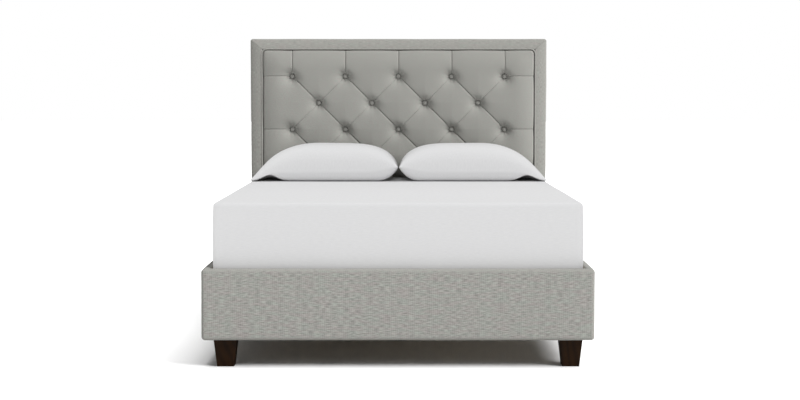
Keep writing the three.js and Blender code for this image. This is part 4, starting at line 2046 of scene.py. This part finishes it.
@dataclass
class Pillows:
    """Two stuffed pillows in plain cases."""

    finishes: Finishes
    cut_length: float = 762 * MM
    cut_width: float = 508 * MM
    cell: float = 9 * MM
    front_seam: float = 44 * MM
    inner_seam: float = 70 * MM
    inner_sag: float = 20 * MM
    outer_seam: float = 3 * MM
    inner_rise: float = 113 * MM
    side_rise: float = 44 * MM
    arch_height: float = 31 * MM
    clear: float = 15 * MM
    swell: float = 3.5 * MM
    crease_share: float = 0.1
    stuffed_share: float = 0.25
    crease_rounds: int = 25
    calm_rounds: int = 140
    sag_reach: float = 0.35
    seam_start: float = 0.55
    arch_place: float = 0.7
    arch_width: float = 0.13
    hem: float = 80 * MM
    stitch_width: float = 3 * MM
    stitch_depth: float = 0.8 * MM

    def build(self) -> None:
        """Stuffs one pillow and lays it on each side."""
        half = Vector((self.cut_length, self.cut_width, 6 * MM)) / 2
        piece = Bench.block("stuffed_pillow", Span(-half, half))
        Bench.rows(piece, Axis.X, round(self.cut_length / self.cell))
        Bench.rows(piece, Axis.Y, round(self.cut_width / self.cell))
        flat = Bench.points(piece) / np.array(half)
        creases = np.zeros(len(flat))
        self._inflate(piece)
        stuffed = Bench.points(piece)
        Bench.finish_with(piece, "SMOOTH", factor=0.5, iterations=self.crease_rounds)
        creases = stuffed[:, 2] - Bench.points(piece)[:, 2]
        Bench.finish_with(piece, "SMOOTH", factor=0.5, iterations=self.calm_rounds)
        for side in Side:
            self._lay(piece, flat, creases, side)
        bpy.data.objects.remove(piece)

    @staticmethod
    def _inflate(piece: bpy.types.Object) -> None:
        """Runs two sewn panels under pressure and keeps their last shape.

        Args:
            piece: The flat pillow.
        """
        Bench.take(piece)
        cloth = piece.modifiers.new("stuffing", "CLOTH")
        settings = cloth.settings
        steps = 30
        values = {
            "quality": 6,
            "mass": 0.3,
            "tension_stiffness": 20,
            "compression_stiffness": 20,
            "shear_stiffness": 6,
            "bending_stiffness": 0.3,
            "air_damping": 4,
            "use_pressure": True,
            "uniform_pressure_force": 5,
        }
        for key, value in values.items():
            setattr(settings, key, value)
        settings.effector_weights.gravity = 0
        cloth.point_cache.frame_start = 1
        cloth.point_cache.frame_end = steps
        for step in range(1, steps + 1):
            bpy.context.scene.frame_set(step)
        bpy.ops.object.modifier_apply(modifier=cloth.name)
        bpy.context.scene.frame_set(1)

    def _lay(
        self, stuffed: bpy.types.Object, flat: np.ndarray, creases: np.ndarray, side: Side
    ) -> None:
        """Lays a copy of the stuffed pillow in its place on the mattress.

        Args:
            stuffed: The pillow to copy.
            flat: Where each of its points was before it was stuffed, each axis from -1 to 1.
            creases: How far each point stands out from the smoothed pillow.
            side: Which side of the bed.
        """
        node = f"pillow_{side.word}"
        span = Span.of(node).grown(x=self.swell)
        outer = flat * np.array([side.value if side is Side.RIGHT else -1, 1, 1])
        piece = Bench.copied(stuffed, f"pillow_case_{side.word}", Matrix.Identity(4))
        points = Bench.points(piece)
        low, high = points.min(axis=0), points.max(axis=0)
        stuffed_plan = 2 * (points - low) / (high - low) - 1
        share = (1 - self.stuffed_share) * flat + self.stuffed_share * stuffed_plan
        behind = self.clear * np.array([0, 1, 0])
        place = np.array(span.centre) - behind / 2 + share * (np.array(span.size) - behind) / 2
        height = self._heights(outer, span)
        soft = eased(height, 4 * MM, 50 * MM)
        height += self.crease_share * creases * soft
        height += ripple(place, 0.22, 61 + side.value) * 1.0 * MM * soft
        hem = 1 - 2 * self.hem / span.size.x
        stitch = np.exp(-(((outer[:, 0] - hem) * span.size.x / 2 / self.stitch_width) ** 2))
        place[:, 2] = span.low.z + 0.8 * MM + height - self.stitch_depth * stitch * soft
        Bench.place(piece, place)
        Bench.finish_with(piece, "SUBSURF", levels=1, render_levels=1)
        Bench.map_cloth(piece)
        Bench.smooth(piece, 80)
        dressed(piece, self.finishes.percale, node, [node])

    def _heights(self, flat: np.ndarray, span: Span) -> np.ndarray:
        """Works out the heights of a pillow that rests on the mattress.

        Args:
            flat: The pillow's points before stuffing, from -1 to 1; 1 in X is the open end
                of the case, at the side of the bed.
            span: The room that the pillow takes.

        Returns:
            The height of each point above the mattress.
        """
        u, v, layer = np.clip(flat, -1, 1).T
        outward, inward = np.clip(u, 0, 1), np.clip(-u, 0, 1)
        sagged = self.inner_sag * (1 - np.exp(-(((v + 1) / self.sag_reach) ** 2)))
        inner_seam = self.inner_seam - sagged
        inner_end = eased(inward, self.seam_start, 1.0)
        seam = self.front_seam + (inner_seam - self.front_seam) * inner_end
        seam -= (self.front_seam - self.outer_seam) * eased(outward, self.seam_start, 1.0)
        tall = span.size.z
        top_out = tall * (1 - outward**3) ** 1.2
        top_in = self.inner_seam + (tall - self.inner_seam) * (1 - inward**4) ** 0.7
        top = np.maximum(np.where(u > 0, top_out, top_in), seam)
        across = (1 - np.abs(v) ** 3.6) ** 0.5
        upper = seam + (top - seam) * across + 1 * MM
        rise = np.where(u > 0, self.side_rise, self.inner_rise)
        ends = np.clip(1 - (1 - np.abs(u)) * span.size.x / 2 / rise, 0, 1) ** 2
        sides = np.clip(1 - (1 - np.abs(v)) * span.size.y / 2 / self.side_rise, 0, 1)
        sides = 1 - np.sqrt(1 - sides**2)
        lower = seam * (1 - (1 - ends) * (1 - sides))
        hump = np.exp(-(((u - self.arch_place) / self.arch_width) ** 2))
        arch = hump * eased(v, 0.2, -0.9)
        lower = np.maximum(lower, self.arch_height * arch)
        return np.where(layer > 0, np.maximum(upper, lower + 1 * MM), lower)


# ------------------------------------------------------------------------------ studio


@dataclass(frozen=True)
class Sun:
    """A broad distant light: its strength, and its spread, turn and rise in degrees."""

    name: str
    strength: float
    spread: float
    turn: float
    rise: float


@dataclass
class Studio:
    """A pale floor, soft lights and the camera."""

    distance: float = 6.322
    eye_height: float = 1.1068
    eye_x: float = 0.0077
    pitch: float = 3.80
    lens: float = 70.58
    key: Sun = Sun("key", 3.6, 28, 60, 40)
    floor_light: Sun = Sun("floor_light", 3.6, 50, 145, 74)
    linen_light: Sun = Sun("linen_light", 2.72, 170, 20, 68)
    floor_width: float = 120.0
    floor_seen: float = 0.93
    floor_bounce: float = 0.47
    fill_strength: float = 0.28

    def build(self) -> None:
        """Sets up the camera, the floor and the lights."""
        self._camera()
        self._lights(self._floor())
        self._world()

    @staticmethod
    def _reach(lamp: bpy.types.Object, pieces: Sequence[bpy.types.Object], lit: bool) -> None:
        """Limits which pieces a light falls on.

        Args:
            lamp: The light.
            pieces: The pieces.
            lit: Whether the light falls on these pieces alone, or on all but these.
        """
        group = bpy.data.collections.new(f"{lamp.name}_pieces")
        for piece in pieces:
            group.objects.link(piece)
        for entry in group.collection_objects:
            entry.light_linking.link_state = "INCLUDE" if lit else "EXCLUDE"
        lamp.light_linking.receiver_collection = group

    def light_linen(self, linen: Sequence[bpy.types.Object]) -> None:
        """Gives white linen its own light, broader than the key so that it does not burn out.

        Args:
            linen: The white pieces.
        """
        self._reach(self._sun(self.linen_light), linen, True)
        self._reach(bpy.data.objects[self.key.name], linen, False)

    def _camera(self) -> None:
        """Stands the camera in front of the foot of the bed, looking slightly down."""
        low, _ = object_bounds()
        data = bpy.data.cameras.new("camera")
        data.lens = self.lens
        data.sensor_width = 36.0
        camera = bpy.data.objects.new("camera", data)
        camera.location = (self.eye_x, low.y - self.distance, self.eye_height)
        camera.rotation_euler = (math.radians(90 - self.pitch), 0, 0)
        bpy.context.scene.collection.objects.link(camera)
        bpy.context.scene.camera = camera

    def _floor(self) -> bpy.types.Object:
        """Lays a wide floor that is seen paler than the light it throws back at the bed.

        Returns:
            The floor.
        """
        bpy.ops.object.select_all(action="DESELECT")
        bpy.ops.mesh.primitive_plane_add(size=self.floor_width)
        floor = Bench.named("studio_floor")
        material = bpy.data.materials.new("studio_floor")
        material.use_nodes = True
        material.node_tree.nodes.clear()
        wire = Wiring(material.node_tree)
        path = wire.add("ShaderNodeLightPath")
        seen = wire.add("ShaderNodeBsdfDiffuse", {"Color": (*[self.floor_seen] * 3, 1)})
        bounced = wire.add("ShaderNodeBsdfDiffuse", {"Color": (*[self.floor_bounce] * 3, 1)})
        shader = wire.add(
            "ShaderNodeMixShader",
            {0: path.outputs["Is Camera Ray"], 1: bounced.outputs[0], 2: seen.outputs[0]},
        )
        wire.add("ShaderNodeOutputMaterial", {"Surface": shader.outputs[0]})
        floor.data.materials.append(material)
        floor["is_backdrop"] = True
        return floor

    def _sun(self, light: Sun) -> bpy.types.Object:
        """Hangs one broad light.

        Args:
            light: Its strength, softness and direction.

        Returns:
            The light.
        """
        data = bpy.data.lights.new(light.name, "SUN")
        data.energy = light.strength
        data.angle = math.radians(light.spread)
        lamp = bpy.data.objects.new(light.name, data)
        turn = math.radians(light.turn)
        rise = math.tan(math.radians(light.rise))
        source = Vector((math.sin(turn), -math.cos(turn), rise)).normalized()
        lamp.location = source * 5
        lamp.rotation_euler = source.to_track_quat("Z", "Y").to_euler()
        bpy.context.scene.collection.objects.link(lamp)
        return lamp

    def _lights(self, floor: bpy.types.Object) -> None:
        """Lets light in from high on the right, and more from above on the floor alone.

        Args:
            floor: The studio's floor.
        """
        self._sun(self.key)
        self._reach(self._sun(self.floor_light), [floor], True)

    def _world(self) -> None:
        """Fills the room with an even light that is plain white behind the bed."""
        world = bpy.data.worlds.new("studio")
        bpy.context.scene.world = world
        world.use_nodes = True
        tree = world.node_tree
        tree.nodes.clear()
        wire = Wiring(tree)
        path = wire.add("ShaderNodeLightPath")
        fill = wire.add(
            "ShaderNodeBackground", {"Color": (1, 1, 1, 1), "Strength": self.fill_strength}
        )
        seen = wire.add("ShaderNodeBackground", {"Color": (1, 1, 1, 1), "Strength": 1.0})
        shader = wire.add(
            "ShaderNodeMixShader",
            {0: path.outputs["Is Camera Ray"], 1: fill.outputs[0], 2: seen.outputs[0]},
        )
        wire.add("ShaderNodeOutputWorld", {"Surface": shader.outputs[0]})
        bpy.context.scene.view_settings.view_transform = "Standard"


def main() -> None:
    """Builds the bed's looks and the studio."""
    logging.basicConfig(level=logging.INFO, format="%(message)s")
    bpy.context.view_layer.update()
    finishes = Finishes()
    studio = Studio()
    studio.build()
    TuftedPanel(finishes).build()
    Border(finishes).build()
    HeadboardBack(finishes).build()
    Base(finishes).build()
    Mattress(finishes).build()
    Pillows(finishes).build()
    white = finishes.percale.name
    studio.light_linen([piece for piece in bpy.data.objects if white in piece.material_slots])


if __name__ == "__main__":
    main()
